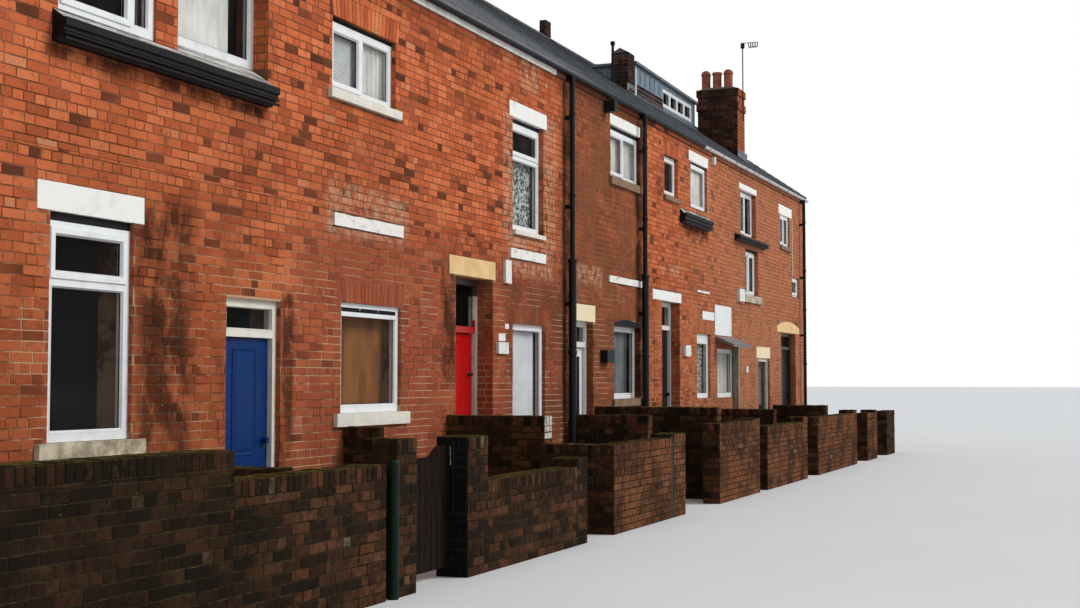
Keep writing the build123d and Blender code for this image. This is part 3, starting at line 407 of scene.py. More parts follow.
def right_plane(x):
    return flat_of((x, 0, 0), (0, 1, 0), (0, 0, 1), (1, 0, 0))


STREET = street_plane(FACE)
REAR = rear_plane(REAR_FACE)


def uneven(place, scale, depth):
    """A smooth random depth from 0 to depth at a place."""
    return depth * (0.5 + 0.5 * noise.noise(Vector(place) * scale))


def weathered(node, name, material, edge=0.006, step=0.06, depth=0.0035):
    """A node's own solids with rounded edges and worn, uneven faces, in place of it."""
    work = welded(node)
    bmesh.ops.dissolve_limit(work, angle_limit=math.radians(1), verts=work.verts,
                             edges=work.edges)
    sharp = [line for line in work.edges if line.calc_face_angle(0) > math.radians(25)]
    bmesh.ops.bevel(work, geom=sharp, offset=edge, segments=2, profile=0.55,
                    affect="EDGES", clamp_overlap=True)
    low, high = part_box(node)
    for axis in (0, 2):
        count = int((high[axis] - low[axis]) / step)
        for index in range(1, count):
            at = low.copy()
            at[axis] = low[axis] + index * step
            across = Vector((0, 0, 0))
            across[axis] = 1
            bmesh.ops.bisect_plane(work, geom=work.verts[:] + work.edges[:] + work.faces[:],
                                   plane_co=at, plane_no=across)
    bmesh.ops.triangulate(work, faces=work.faces)
    work.normal_update()
    for vert in work.verts:
        wear = uneven(vert.co, 7, depth) + uneven(vert.co, 31, depth * 0.6)
        vert.co -= vert.normal * wear
    mesh = bpy.data.meshes.new(name)
    work.to_mesh(mesh)
    work.free()
    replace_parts(finished_piece(name, mesh, material), node)


# Laying bricks and slates

class Bricks:
    """Worn bricks standing proud of a mortar face, gathered for one piece."""

    def __init__(self):
        self.points = []
        self.tones = []

    def quad(self, flat, corners, proud=PROUD):
        """One brick face from four (u, v) corners, anticlockwise from outside."""
        middle_u = sum(corner[0] for corner in corners) / 4
        middle_v = sum(corner[1] for corner in corners) / 4
        proud += random.uniform(-BRICK_UNEVEN, BRICK_UNEVEN)
        back = [on_flat(flat, u, v, BEHIND_MORTAR_FACE) for u, v in corners]
        front = []
        for u, v in corners:
            inset_u = math.copysign(CHAMFER, middle_u - u)
            inset_v = math.copysign(CHAMFER, middle_v - v)
            front.append(on_flat(flat, u + inset_u, v + inset_v, proud))
        self.points.extend(tuple(point) for point in back + front)
        self.tones.append(random.random())

    def rect(self, flat, left, right, low, high):
        nudge = random.uniform(-BRICK_UNEVEN, BRICK_UNEVEN)
        self.quad(flat, ((left, low + nudge), (right, low - nudge), (right, high - nudge),
                         (left, high + nudge)))

    def done(self, name, material, slot="red_brick"):
        count = len(self.tones)
        starts = np.arange(count)[:, None] * 8
        pattern = np.array([(4, 5, 6, 7), (0, 1, 5, 4), (1, 2, 6, 5), (2, 3, 7, 6), (3, 0, 4, 7)])
        faces = (starts[:, None, :] + pattern[None]).reshape(-1, 4)
        tones = np.repeat(self.tones, len(pattern))
        mesh = toned_mesh(name, self.points, faces.tolist(), tones)
        finished_piece(name, mesh, material)


def less_holes(rect, holes):
    """What is left of a rectangle outside some others, as rectangles."""
    left, right, low, high = rect
    for hole_left, hole_right, hole_low, hole_high in holes:
        if hole_left < right and hole_right > left and hole_low < high and hole_high > low:
            inner_left = max(left, hole_left)
            inner_right = min(right, hole_right)
            around = ((left, hole_left, low, high), (hole_right, right, low, high),
                      (inner_left, inner_right, low, hole_low),
                      (inner_left, inner_right, hole_high, high))
            return [rest for piece in around if piece[0] < piece[1] and piece[2] < piece[3]
                    for rest in less_holes(piece, holes)]
    return [rect]


def bigger_than(smallest, rect):
    return rect[1] - rect[0] > smallest and rect[3] - rect[2] > smallest


def brick_run(left, right, course):
    """Where the bricks of one course start and end: every fifth course is headers."""
    if course % HEADER_COURSE_EVERY == 2:
        length = HEADER
        at = left - (course * HEADER_SHIFT % 1) * length
    else:
        length = STRETCHER
        at = left - (course % 2) * length / 2
    run = []
    while at < right:
        step = length
        if length == STRETCHER and random.random() < SHORT_BRICK_SHARE:
            step = HEADER
        run.append((max(at, left), min(at + step - JOINT, right)))
        at += step + random.uniform(-LENGTH_UNEVEN, LENGTH_UNEVEN)
    return run


def lay_wall(bricks, flat, left, right, low, high, holes=(), sides=None):
    """Lays courses over a face, cut at the holes; sides(z) may narrow each course."""
    first = math.floor(low / COURSE + 0.001)
    last = math.ceil(high / COURSE - 0.001)
    for course in range(first, last):
        course_low = max(course * COURSE + JOINT / 2, low)
        course_high = min(course * COURSE + JOINT / 2 + BRICK_HEIGHT, high)
        if course_high - course_low < SMALLEST_BRICK:
            continue
        course_left, course_right = left, right
        if sides:
            course_left, course_right = sides(course_high)
            course_left = max(course_left, left)
            course_right = min(course_right, right)
        near = [hole for hole in holes if hole[2] < course_high and hole[3] > course_low]
        for start, end in brick_run(course_left, course_right, course):
            for rect in less_holes((start, end, course_low, course_high), near):
                if bigger_than(SMALLEST_BRICK, rect):
                    bricks.rect(flat, *rect)


def lay_arch(bricks, flat, rect):
    """A flat arch of upright bricks that lean outwards to both sides."""
    left, right, low, high = rect
    count = max(2, round((right - left) / COURSE))
    width = (right - left) / count
    middle = (left + right) / 2
    for index in range(count):
        start = left + index * width + JOINT / 2
        end = start + width - JOINT
        top_start = start + (start - middle) * ARCH_LEAN * (high - low)
        top_end = end + (end - middle) * ARCH_LEAN * (high - low)
        bricks.quad(flat, ((start, low), (end, low), (min(top_end, right + ARCH_OVERRUN), high),
                           (max(top_start, left - ARCH_OVERRUN), high)))


def slate_slope(slates, flat, left, right, length, holes=()):
    """Rows of overlapping slates from the eaves up, each thicker at its lower edge."""
    rows = math.ceil(length / SLATE_GAUGE)
    for row in range(rows):
        low = row * SLATE_GAUGE
        high = min(low + SLATE_GAUGE + SLATE_OVERLAP, length)
        at = left - (row % 2) * SLATE_WIDTH / 2
        near = [hole for hole in holes if hole[2] < high and hole[3] > low]
        while at < right:
            rect = (max(at, left), min(at + SLATE_WIDTH - SLATE_GAP, right), low, high)
            at += SLATE_WIDTH
            for piece in less_holes(rect, near):
                if bigger_than(SMALLEST_SLATE, piece):
                    one_slate(slates, flat, piece)


def one_slate(slates, flat, rect):
    left, right, low, high = rect
    lift = SLATE_THICK + random.uniform(0, SLATE_UNEVEN)
    low += random.uniform(-SLATE_UNEVEN, SLATE_UNEVEN)
    tone = random.random()
    corners = corners_of(left, right, low, high)
    base = [on_flat(flat, u, v, SLATE_FOOT) for u, v in corners]
    outs = (lift, lift, SLATE_UPPER_EDGE, SLATE_UPPER_EDGE)
    top = [on_flat(flat, u, v, out) for (u, v), out in zip(corners, outs)]
    slates.add(base + top, [(4, 5, 6, 7), (0, 1, 5, 4), (1, 2, 6, 5), (3, 0, 4, 7)], tone)


# Materials

class Paint:
    """A material made of nodes, in the piece's own coordinates, built up layer by layer."""

    def __init__(self, name, roughness=0.8, specular=0.5, metallic=0.0):
        self.material = bpy.data.materials.new(name)
        self.material.use_nodes = True
        self.tree = self.material.node_tree
        self.shader = self.tree.nodes["Principled BSDF"]
        self.shader.inputs["Roughness"].default_value = roughness
        self.shader.inputs["Metallic"].default_value = metallic
        self.shader.inputs["Specular IOR Level"].default_value = specular
        self.place = self.tree.nodes.new("ShaderNodeTexCoord").outputs["Object"]
        self.color = None

    def set(self, socket, value):
        if isinstance(value, bpy.types.NodeSocket):
            self.tree.links.new(value, socket)
        elif isinstance(value, tuple) and len(value) == 3 and socket.type == "RGBA":
            socket.default_value = (*value, 1)
        else:
            socket.default_value = value

    def math(self, operation, values):
        """The values put together two by two with one operation."""
        result = values[0]
        for value in values[1:]:
            node = self.tree.nodes.new("ShaderNodeMath")
            node.operation = operation
            self.set(node.inputs[0], result)
            self.set(node.inputs[1], value)
            result = node.outputs[0]
        return result

    def times(self, *values):
        return self.math("MULTIPLY", values)

    def either(self, *values):
        return self.math("MAXIMUM", values)

    def noise(self, scale, detail=4.0, roughness=0.55, stretch=None):
        vector = self.place
        if stretch:
            stretched = self.tree.nodes.new("ShaderNodeVectorMath")
            stretched.operation = "MULTIPLY"
            self.set(stretched.inputs[0], self.place)
            stretched.inputs[1].default_value = stretch
            vector = stretched.outputs[0]
        node = self.tree.nodes.new("ShaderNodeTexNoise")
        self.set(node.inputs["Vector"], vector)
        node.inputs["Scale"].default_value = scale
        node.inputs["Detail"].default_value = detail
        node.inputs["Roughness"].default_value = roughness
        return node.outputs["Fac"]

    def steps(self, value, low, high, to_low=0.0, to_high=1.0):
        """A value's range from low to high taken smoothly to another range."""
        node = self.tree.nodes.new("ShaderNodeMapRange")
        node.interpolation_type = "SMOOTHSTEP"
        self.set(node.inputs["Value"], value)
        node.inputs["From Min"].default_value = low
        node.inputs["From Max"].default_value = high
        node.inputs["To Min"].default_value = to_low
        node.inputs["To Max"].default_value = to_high
        return node.outputs["Result"]

    def cloud(self, noise_values, *steps):
        """Soft patches: noise of a scale, detail and roughness, taken through steps."""
        return self.steps(self.noise(*noise_values), *steps)

    def along(self, name, *steps):
        """A change along one axis."""
        return self.steps(self.axis(name), *steps)

    def ramp(self, value, stops):
        node = self.tree.nodes.new("ShaderNodeValToRGB")
        self.set(node.inputs["Fac"], value)
        elements = node.color_ramp.elements
        while len(elements) < len(stops):
            elements.new(0.5)
        for element, (place, color) in zip(elements, stops):
            element.position = place
            element.color = (*linear(*color), 1)
        return node.outputs["Color"]

    def mix(self, factor, first, second):
        node = self.tree.nodes.new("ShaderNodeMix")
        node.data_type = "RGBA"
        self.set(node.inputs["Factor"], factor)
        self.set(node.inputs["A"], first)
        self.set(node.inputs["B"], second)
        return node.outputs["Result"]

    def two(self, factor, first, second):
        """A mix of two screen colours."""
        return self.mix(factor, linear(*first), linear(*second))

    def over(self, factor, *color):
        """Lays a screen colour over what is there, as far as the factor says."""
        self.color = self.mix(factor, self.color, linear(*color))

    def tone(self):
        """The value that each face was given."""
        node = self.tree.nodes.new("ShaderNodeAttribute")
        node.attribute_name = "tone"
        return node.outputs["Fac"]

    def axis(self, name, vector=None):
        node = self.tree.nodes.new("ShaderNodeSeparateXYZ")
        self.set(node.inputs[0], vector or self.place)
        return node.outputs[name]

    def facing(self, name, low, high):
        """1 where the surface faces an axis as much as high, 0 where as little as low."""
        geometry = self.tree.nodes.new("ShaderNodeNewGeometry")
        return self.steps(self.axis(name, geometry.outputs["Normal"]), low, high)

    def between(self, axis, low, high, soft):
        """1 between two places along an axis, falling off over a soft edge."""
        value = self.axis(axis)
        rise = self.steps(value, low - soft, low + soft)
        fall = self.steps(value, high - soft, high + soft, 1.0, 0.0)
        return self.times(rise, fall)

    def before_houses(self):
        """1 on the street side of the row's middle, 0 behind it."""
        return self.along("Y", 0, 0.01, 1.0, 0.0)

    def area(self, left, right, low, high, soft):
        """1 inside a rectangle of the street face."""
        return self.times(self.between("X", left, right, soft),
                          self.between("Z", low, high, soft))

    def areas(self, places):
        return self.either(*(self.area(*place) for place in places))

    def bump(self, noise_values, distance, strength):
        node = self.tree.nodes.new("ShaderNodeBump")
        node.inputs["Distance"].default_value = distance
        node.inputs["Strength"].default_value = strength
        self.set(node.inputs["Height"], self.noise(*noise_values))
        self.tree.links.new(node.outputs["Normal"], self.shader.inputs["Normal"])

    def done(self):
        self.set(self.shader.inputs["Base Color"], self.color)
        return self.material


def linear(red, green, blue):
    """A screen colour from 0 to 255 as the linear values that a shader takes."""
    values = []
    for channel in (red, green, blue):
        value = channel / 255
        values.append(value / 12.92 if value <= 0.04045 else ((value + 0.055) / 1.055) ** 2.4)
    return tuple(values)


# Left, right, low, high and soft edge of each stain, then of the lime and scraped paint
STAINS = (
    (-10.34, -9.62, 0.9, 3.05, 0.16), (-11.4, -8.5, 3.88, 4.05, 0.10),
    (4.2, 6.0, 4.1, 4.3, 0.10), (-8.25, -8.05, 0.3, 2.4, 0.06), (-4.95, -4.6, 1.6, 3.0, 0.1),
    (-1.25, -0.85, 0.2, 5.6, 0.05), (1.85, 2.25, 0.2, 5.6, 0.05))
PALE_PATCHES = (
    (-2.7, -2.1, 5.25, 5.6, 0.08), (-1.93, -1.5, 3.3, 5.0, 0.1), (-3.25, -2.98, 3.3, 4.9, 0.06),
    (-0.75, 0.35, 2.95, 3.2, 0.05), (-3.1, -1.6, 2.9, 3.42, 0.06), (-7.5, -5.8, 3.0, 3.5, 0.08),
    (3.6, 4.2, 3.35, 3.5, 0.05), (5.96, 6.12, 4.5, 5.4, 0.01), (8.0, 8.5, 3.1, 3.35, 0.05),
    (12.72, 12.9, 4.4, 5.3, 0.02))


def house_brick():
    """Red facing bricks, browner on the fourth house, with soot and pale patches, and painted
    shade with dirt darkening the wall towards the ground.
    """
    paint = Paint("house_brick", roughness=0.95, specular=0.05)
    paint.color = paint.ramp(paint.tone(), (
        (0.0, (80, 46, 34)), (0.05, (104, 58, 40)), (0.09, (168, 84, 52)),
        (0.35, (194, 98, 60)), (0.6, (212, 112, 68)), (0.98, (222, 126, 80)),
        (1.0, (208, 142, 102))))
    dull = paint.cloud((0.7, 6, 0.6), 0.4, 0.7, 0, 0.5)
    paint.over(dull, 150, 74, 46)
    orange = paint.cloud((1.1, 4, 0.5), 0.5, 0.75, 0, 0.5)
    paint.over(orange, 198, 104, 60)
    soot = paint.cloud((2.4, 8, 0.65, (1.6, 1.6, 0.5)), 0.54, 0.8, 0.0, 0.75)
    paint.over(soot, 80, 46, 30)
    # Painted shade with dirt: darker low on the wall, fading out up to the upper storey.
    lower = paint.times(paint.along("Z", 1.6, 4.9, 1.0, 0.0),
                        paint.along("X", -12.0, 4.0, 0.36, 0.30),
                        paint.cloud((1.3, 6, 0.6), 0.3, 0.6, 0.6, 1.0))
    paint.over(lower, 96, 54, 34)
    further = paint.along("X", 2.0, 9.0, 0.0, 0.65)
    paint.over(further, 172, 118, 88)
    redder = paint.times(paint.area(-8.0, -1.4, 0.0, 3.1, 0.35),
                         paint.cloud((1.2, 5, 0.6), 0.3, 0.6, 0.3, 0.75))
    paint.over(redder, 146, 74, 54)
    speckle = paint.cloud((17, 7, 0.7), 0.53, 0.7, 0.0, 0.6)
    paint.over(speckle, 92, 54, 36)
    brown = paint.times(paint.between("X", PARTY_LINES[2] - 0.35, PARTY_LINES[3] - 0.1, 0.2),
                        paint.cloud((1.5, 5), 0.3, 0.6, 0.6, 0.92))
    paint.over(brown, 122, 74, 50)
    umber = paint.times(paint.area(-3.2, PARTY_LINES[2], 0.2, 3.0, 0.3),
                        paint.cloud((2.1, 5), 0.4, 0.6, 0.25, 0.8))
    paint.over(umber, 98, 60, 42)
    paint.over(paint.times(stained_places(paint), 0.85), 44, 25, 16)
    pale = paint.times(paint.areas(PALE_PATCHES), paint.cloud((9, 5, 0.65), 0.38, 0.62), 0.7)
    paint.over(pale, 196, 158, 128)
    # Painted shade with dirt, darkest at the foot of the wall.
    low_shade_and_dirt = paint.times(paint.along("Z", 0.2, 1.5, 0.5, 0.0),
                       paint.cloud((1.8, 5), 0.3, 0.7, 0.5, 1.0))
    paint.over(low_shade_and_dirt, 62, 38, 26)
    grain = paint.cloud((150, 4, 0.6), 0.35, 0.75, 0.0, 0.3)
    paint.over(grain, 104, 54, 34)
    crumbs = paint.cloud((38, 3, 0.6), 0.66, 0.74, 0.0, 0.5)
    paint.over(crumbs, 206, 140, 104)
    paint.bump((55, 7, 0.7), 0.006, 0.9)
    return paint.done()


def stained_places(paint):
    """Soot and wet: by the first window, under the dark ledges and along the eaves."""
    uneven_edge = paint.cloud((3.2, 6, 0.65, (1.2, 1, 0.8)), 0.36, 0.56, 0.25, 1.0)
    eaves = paint.times(paint.along("Z", 5.4, 5.62, 0.0, 0.55),
                        paint.along("X", 1.8, 2.2, 1.0, 0.35))
    return paint.either(paint.times(paint.areas(STAINS), uneven_edge), eaves)


def yard_brick():
    """Dark weathered bricks with moss on their tops and lime stains, with painted light and
    painted shade on the street faces.
    """
    paint = Paint("yard_brick", roughness=0.96, specular=0.05)
    street_side = paint.facing("Y", -0.2, -0.8)
    paint.color = paint.ramp(paint.tone(), (
        (0.0, (30, 23, 17)), (0.3, (48, 33, 23)), (0.65, (74, 48, 31)),
        (0.97, (92, 58, 38)), (0.99, (92, 64, 46)), (1.0, (112, 96, 76))))
    stain = paint.cloud((1.7, 6, 0.6), 0.4, 0.7, 0, 0.8)
    paint.over(stain, 34, 25, 18)
    shaded = paint.times(paint.along("X", -12.4, -10.9, 0.6, 0.0), street_side)
    paint.over(shaded, 24, 18, 12)
    # Redder brick in patches along the further walls, on the street faces only: partly the
    # bricks' colour, partly painted light that makes those faces look lit.
    red = paint.times(paint.between("X", -5.4, 12.0, 0.05),
                      paint.cloud((2.3, 5), 0.4, 0.6, 0.2, 0.8), street_side)
    paint.over(red, 128, 80, 52)
    lime = paint.cloud((9, 6, 0.7), 0.66, 0.76, 0, 0.4)
    paint.over(lime, 122, 104, 80)
    tops = paint.times(paint.facing("Z", 0.4, 0.9), paint.cloud((7, 6, 0.7), 0.36, 0.56))
    sides = paint.times(paint.cloud((11, 6, 0.7), 0.56, 0.72),
                        paint.along("Z", 0.6, 1.05, 0.0, 0.7))
    moss = paint.two(paint.cloud((40, 3), 0.35, 0.7), (50, 46, 16), (104, 98, 34))
    paint.color = paint.mix(paint.either(tops, sides), paint.color, moss)
    white_end = paint.times(paint.area(-4.81, -4.60, 0.98, 1.24, 0.01),
                            paint.between("Y", -3.76, -3.70, 0.002),
                            paint.facing("Y", -0.85, -0.95))
    paint.over(white_end, 206, 202, 192)
    black_side = paint.times(paint.between("X", -8.61, -8.585, 0.002),
                             paint.facing("X", -0.3, -0.8))
    paint.over(black_side, 22, 22, 24)
    dirt = paint.cloud((13, 7, 0.7), 0.44, 0.66, 0.0, 0.7)
    paint.over(dirt, 22, 17, 12)
    paint.bump((45, 7, 0.7), 0.008, 1.0)
    return paint.done()


def stack_brick():
    """Sooted bricks of the chimneys, with painted light on the street face of the far stack."""
    paint = Paint("stack_brick", roughness=0.95, specular=0.05)
    paint.color = paint.ramp(paint.tone(), (
        (0.0, (44, 28, 22)), (0.5, (78, 46, 34)), (1.0, (116, 72, 50))))
    soot = paint.cloud((3, 6, 0.65), 0.36, 0.6, 0.2, 0.85)
    paint.over(soot, 42, 32, 28)
    # Painted light: the far stack's street face is made bright orange, as if the sun falls on it.
    lit_far_stack_face = paint.times(paint.along("X", 10.0, 10.1), paint.facing("Y", -0.2, -0.8), 0.8)
    paint.over(lit_far_stack_face, 170, 96, 64)
    paint.bump((70, 6, 0.65), 0.004, 0.8)
    return paint.done()


def street_mortar():
    """Dark lime mortar, repointed pale in patches low down, and plaster indoors made dark grey as
    painted shade of the dim rooms.
    """
    paint = Paint("street_mortar", roughness=0.97, specular=0.05)
    sand = paint.cloud((3.0, 6, 0.6), 0.35, 0.65)
    paint.color = paint.two(sand, (140, 82, 56), (88, 52, 36))
    patches = paint.times(paint.cloud((1.9, 6, 0.65), 0.42, 0.56),
                          paint.along("Z", 2.3, 3.2, 0.9, 0.12))
    paint.over(patches, 188, 152, 118)
    paint.over(paint.times(stained_places(paint), 0.85), 40, 26, 18)
    # Painted shade: the plaster inside is made dark grey so that the rooms look dim through the
    # windows.
    inside = paint.between("Y", FACE + WALL_THICK * 0.97, REAR_FACE - WALL_THICK * 0.97, 0.004)
    plaster = paint.two(paint.cloud((1.2, 4), 0.3, 0.7), (92, 88, 80), (72, 68, 62))
    paint.color = paint.mix(inside, paint.color, plaster)
    paint.bump((220, 4, 0.6), 0.002, 0.5)
    return paint.done()


def plain_stone():
    """Cream painted sandstone, stained, white over the doors."""
    paint = Paint("plain_stone", roughness=0.9, specular=0.1)
    stain = paint.cloud((4, 6, 0.65), 0.35, 0.75)
    paint.color = paint.two(stain, (226, 190, 140), (208, 170, 120))
    white = paint.areas(((-0.9, 0.1, 2.3, 2.8, 0.02), (9.4, 10.9, 1.9, 2.5, 0.02)))
    paint.over(paint.times(white, 0.7), 234, 222, 190)
    spots = paint.cloud((22, 5, 0.7), 0.62, 0.74, 0, 0.5)
    paint.over(spots, 126, 108, 82)
    paint.bump((60, 5, 0.6), 0.004, 0.6)
    return paint.done()


def sill_stone():
    """Sills of worn paint over stone: white by the first houses, brown on the fourth."""
    paint = Paint("sill_stone", roughness=0.9, specular=0.1)
    bare = paint.cloud((5, 7, 0.7), 0.34, 0.62, 0, 0.85)
    paint.color = paint.two(bare, (208, 196, 170), (124, 110, 88))
    white = paint.between("X", -7.6, -1.7, 0.05)
    paint.over(paint.times(white, 0.75), 228, 224, 212)
    brown = paint.either(paint.between("X", 0.5, 4.25, 0.05),
                         paint.between("X", 11.6, 12.8, 0.05))
    paint.over(paint.times(brown, 0.85), 122, 96, 74)
    chips = paint.cloud((20, 6, 0.75), 0.64, 0.70)
    paint.over(chips, 96, 82, 68)
    paint.bump((40, 5, 0.6), 0.004, 0.6)
    return paint.done()


def slate_stone(name, tint):
    """Riven slates of several greys with lichen, paler on the first houses."""
    paint = Paint(name, roughness=0.6, specular=0.2)
    paint.color = paint.ramp(paint.tone(), (
        (0.0, (46, 48, 54)), (0.4, (59, 62, 69)), (0.8, (73, 76, 82)), (1.0, (96, 95, 90))))
    paint.over(0.35, *tint)
    first_houses = paint.times(paint.along("X", 1.0, -2.0),
                               paint.cloud((0.8, 6, 0.6), 0.3, 0.7, 0.45, 0.8))
    paint.over(first_houses, 126, 127, 130)
    lichen = paint.cloud((7, 6, 0.7), 0.58, 0.70, 0, 0.5)
    paint.over(lichen, 104, 100, 82)
    paint.bump((26, 6, 0.6, (1, 0.35, 0.35)), 0.003, 0.7)
    return paint.done()


def door_frame_paint():
    """Cream gloss round the doors, red and dark at the third, black at the last."""
    paint = Paint("door_frame_paint", roughness=0.4)
    grime = paint.cloud((6, 6, 0.65), 0.42, 0.8, 0, 0.6)
    paint.color = paint.two(grime, (224, 219, 204), (160, 152, 136))
    red_head = paint.area(-4.64, -3.61, 2.12, 2.32, 0.004)
    paint.over(red_head, 176, 22, 26)
    dark_head = paint.area(-4.64, -3.55, 2.60, 2.9, 0.01)
    paint.over(dark_head, 60, 50, 46)
    last_door = paint.between("X", 11.7, 13.3, 0.01)
    paint.over(last_door, 40, 38, 38)
    white = paint.between("X", -1.0, 4.3, 0.02)
    paint.over(paint.times(white, 0.6), 220, 222, 222)
    paint.bump((70, 3, 0.55, (1, 1, 0.1)), 0.0008, 0.5)
    return paint.done()


def eaves_board():
    """Fascia: white on the first three houses, mortar behind the eaves bricks further on."""
    paint = Paint("eaves_board", roughness=0.6)
    grime = paint.noise(5, 6, 0.7)
    white = paint.two(paint.steps(grime, 0.4, 0.75, 0, 0.7), (246, 243, 236), (168, 160, 148))
    dark = paint.two(paint.steps(grime, 0.4, 0.7), (112, 68, 48), (74, 48, 36))
    paint.color = paint.mix(paint.along("X", -1.535, -1.515), white, dark)
    paint.bump((30, 4, 0.55, (0.1, 1, 1)), 0.002, 0.5)
    return paint.done()


def gutter_paint():
    """Black gutters, white along the last two houses."""
    paint = Paint("gutter_paint", roughness=0.5, specular=0.2)
    wear = paint.noise(8, 6, 0.7)
    black = paint.two(paint.steps(wear, 0.6, 0.72, 0, 0.6), (20, 21, 23), (58, 52, 46))
    white = paint.two(paint.steps(wear, 0.45, 0.75, 0, 0.6), (208, 208, 204), (132, 128, 118))
    last_houses = paint.times(paint.along("X", 5.54, 5.56), paint.before_houses())
    paint.color = paint.mix(last_houses, black, white)
    paint.bump((60, 5), 0.001, 0.5)
    return paint.done()


def pipe_paint():
    """Thick black paint on the downpipes, cream on the thin waste pipe."""
    paint = Paint("pipe_paint", roughness=0.36, specular=0.25)
    wear = paint.cloud((9, 6, 0.7), 0.64, 0.72, 0, 0.6)
    paint.color = paint.two(wear, (13, 14, 16), (56, 48, 42))
    cream = paint.times(paint.between("X", 12.86, 12.91, 0.002), paint.before_houses())
    paint.over(cream, 206, 196, 170)
    paint.bump((40, 5), 0.0015, 0.6)
    return paint.done()


def post_paint():
    """The round post is green, the square one black."""
    paint = Paint("post_paint", roughness=0.5, specular=0.15)
    runs = (11, 6, 0.7, (1, 1, 0.3))
    green = paint.two(paint.cloud(runs, 0.5, 0.72, 0, 0.8), (4, 30, 18), (16, 16, 10))
    black = paint.two(paint.cloud(runs, 0.6, 0.75, 0, 0.8), (24, 23, 23), (60, 50, 42))
    paint.color = paint.mix(paint.along("X", -6.1, -6.0), green, black)
    paint.bump(runs, 0.001, 0.5)
    return paint.done()


def ledge_boards():
    """Black painted mouldings under weathered grey-white sloping boards."""
    paint = Paint("ledge_boards", roughness=0.55, specular=0.2)
    grain = (10, 6, 0.7, (0.2, 1, 1))
    black = paint.two(paint.cloud(grain, 0.55, 0.75, 0, 0.6), (16, 15, 16), (74, 62, 52))
    paint.color = paint.two(paint.cloud(grain, 0.4, 0.62), (198, 196, 190), (104, 98, 90))
    near_green = paint.between("X", 7.8, 10.3, 0.05)
    paint.over(paint.times(near_green, 0.5), 118, 124, 92)
    above = paint.facing("Z", 0.35, 0.6)
    paint.color = paint.mix(above, black, paint.color)
    paint.bump(grain, 0.003, 0.6)
    return paint.done()


def worn(name, light, dark, wear, edge, bump, roughness=0.8, specular=0.5, chips=None):
    """One colour that gives way to another in soft patches, with chips of a third.

    wear is the noise of the patches, edge the steps that it is taken through, and bump the
    noise, distance and strength of the relief."""
    paint = Paint(name, roughness, specular)
    paint.color = paint.two(paint.cloud(wear, *edge), light, dark)
    if chips:
        noise_values, low, high, color = chips
        paint.over(paint.cloud(noise_values, low, high), *color)
    paint.bump(*bump)
    return paint.done()


def mortar(name, light, dark):
    return worn(name, light, dark, wear=(3.0, 6, 0.6), edge=(0.35, 0.65),
                bump=((220, 4, 0.6), 0.002, 0.5), roughness=0.97, specular=0.05)


def painted_stone():
    """White masonry paint with hairline dirt and bare patches."""
    return worn("painted_stone", (232, 230, 224), (168, 160, 146), wear=(5, 7, 0.7),
                edge=(0.5, 0.8, 0, 0.5), bump=((40, 5, 0.6), 0.003, 0.5), specular=0.2,
                chips=((16, 6, 0.75), 0.67, 0.71, (138, 118, 100)))


def stub_stone():
    """Broken ledge stumps under flaking white paint."""
    streaks = (14, 6, 0.7, (0.35, 1, 1))
    return worn("stub_stone", (228, 224, 216), (150, 140, 126), wear=streaks,
                edge=(0.5, 0.68, 0, 0.6), bump=(streaks, 0.006, 0.8), roughness=0.9,
                specular=0.1, chips=((8, 6, 0.75), 0.64, 0.70, (104, 92, 78)))


def ridge_clay():
    return worn("ridge_clay", (92, 84, 78), (60, 56, 54), wear=(6, 6, 0.65), edge=(0.35, 0.7),
                bump=((50, 5), 0.003, 0.6))


def white_plastic():
    return worn("white_plastic", (228, 229, 228), (168, 166, 158), wear=(6, 6, 0.65),
                edge=(0.45, 0.85, 0, 0.5), bump=((12, 2), 0.0006, 0.4), roughness=0.35)


def dark_iron():
    return worn("dark_iron", (20, 20, 22), (62, 54, 48), wear=(8, 6, 0.7),
                edge=(0.58, 0.72, 0, 0.7), bump=((60, 5), 0.001, 0.5), roughness=0.6,
                specular=0.15)


def floor_boards():
    grain = (30, 5, 0.6, (0.06, 1, 1))
    return worn("floor_boards", (122, 94, 66), (90, 66, 46), wear=grain, edge=(0.3, 0.7),
                bump=(grain, 0.001, 0.5), roughness=0.7)


def concrete():
    return worn("concrete", (138, 132, 122), (100, 95, 87), wear=(4, 6, 0.6), edge=(0.3, 0.7),
                bump=((90, 5), 0.002, 0.5), roughness=0.9)


def cladding():
    """Blue-grey sheet on the dormer, with dirt that runs down."""
    return worn("cladding", (112, 128, 142), (78, 90, 100), wear=(9, 5, 0.6, (1, 1, 0.15)),
                edge=(0.4, 0.75), bump=((30, 3), 0.001, 0.4), roughness=0.5)


def patterned_net():
    """A pale net with a leafy pattern worked in closer threads."""
    leaves = (26, 3, 0.6)
    return worn("patterned_net", (196, 200, 196), (82, 88, 86), wear=leaves,
                edge=(0.46, 0.54), bump=(leaves, 0.0008, 0.5), roughness=0.95, specular=0.15)


def terracotta():
    """Red clay with soot round the pots' tops."""
    paint = Paint("terracotta")
    soot = paint.cloud((5, 6, 0.6), 0.4, 0.75)
    paint.color = paint.two(soot, (160, 84, 54), (86, 50, 40))
    top_soot = paint.along("Z", 8.05, 8.24, 0, 0.55)
    paint.over(top_soot, 58, 42, 38)
    paint.bump((50, 5), 0.002, 0.6)
    return paint.done()


def wood(name, light, dark):
    """Upright boards with grain along them."""
    grain = (60, 6, 0.6, (1, 1, 0.06))
    return worn(name, light, dark, wear=grain, edge=(0.35, 0.7), bump=(grain, 0.002, 0.6),
                specular=0.05)


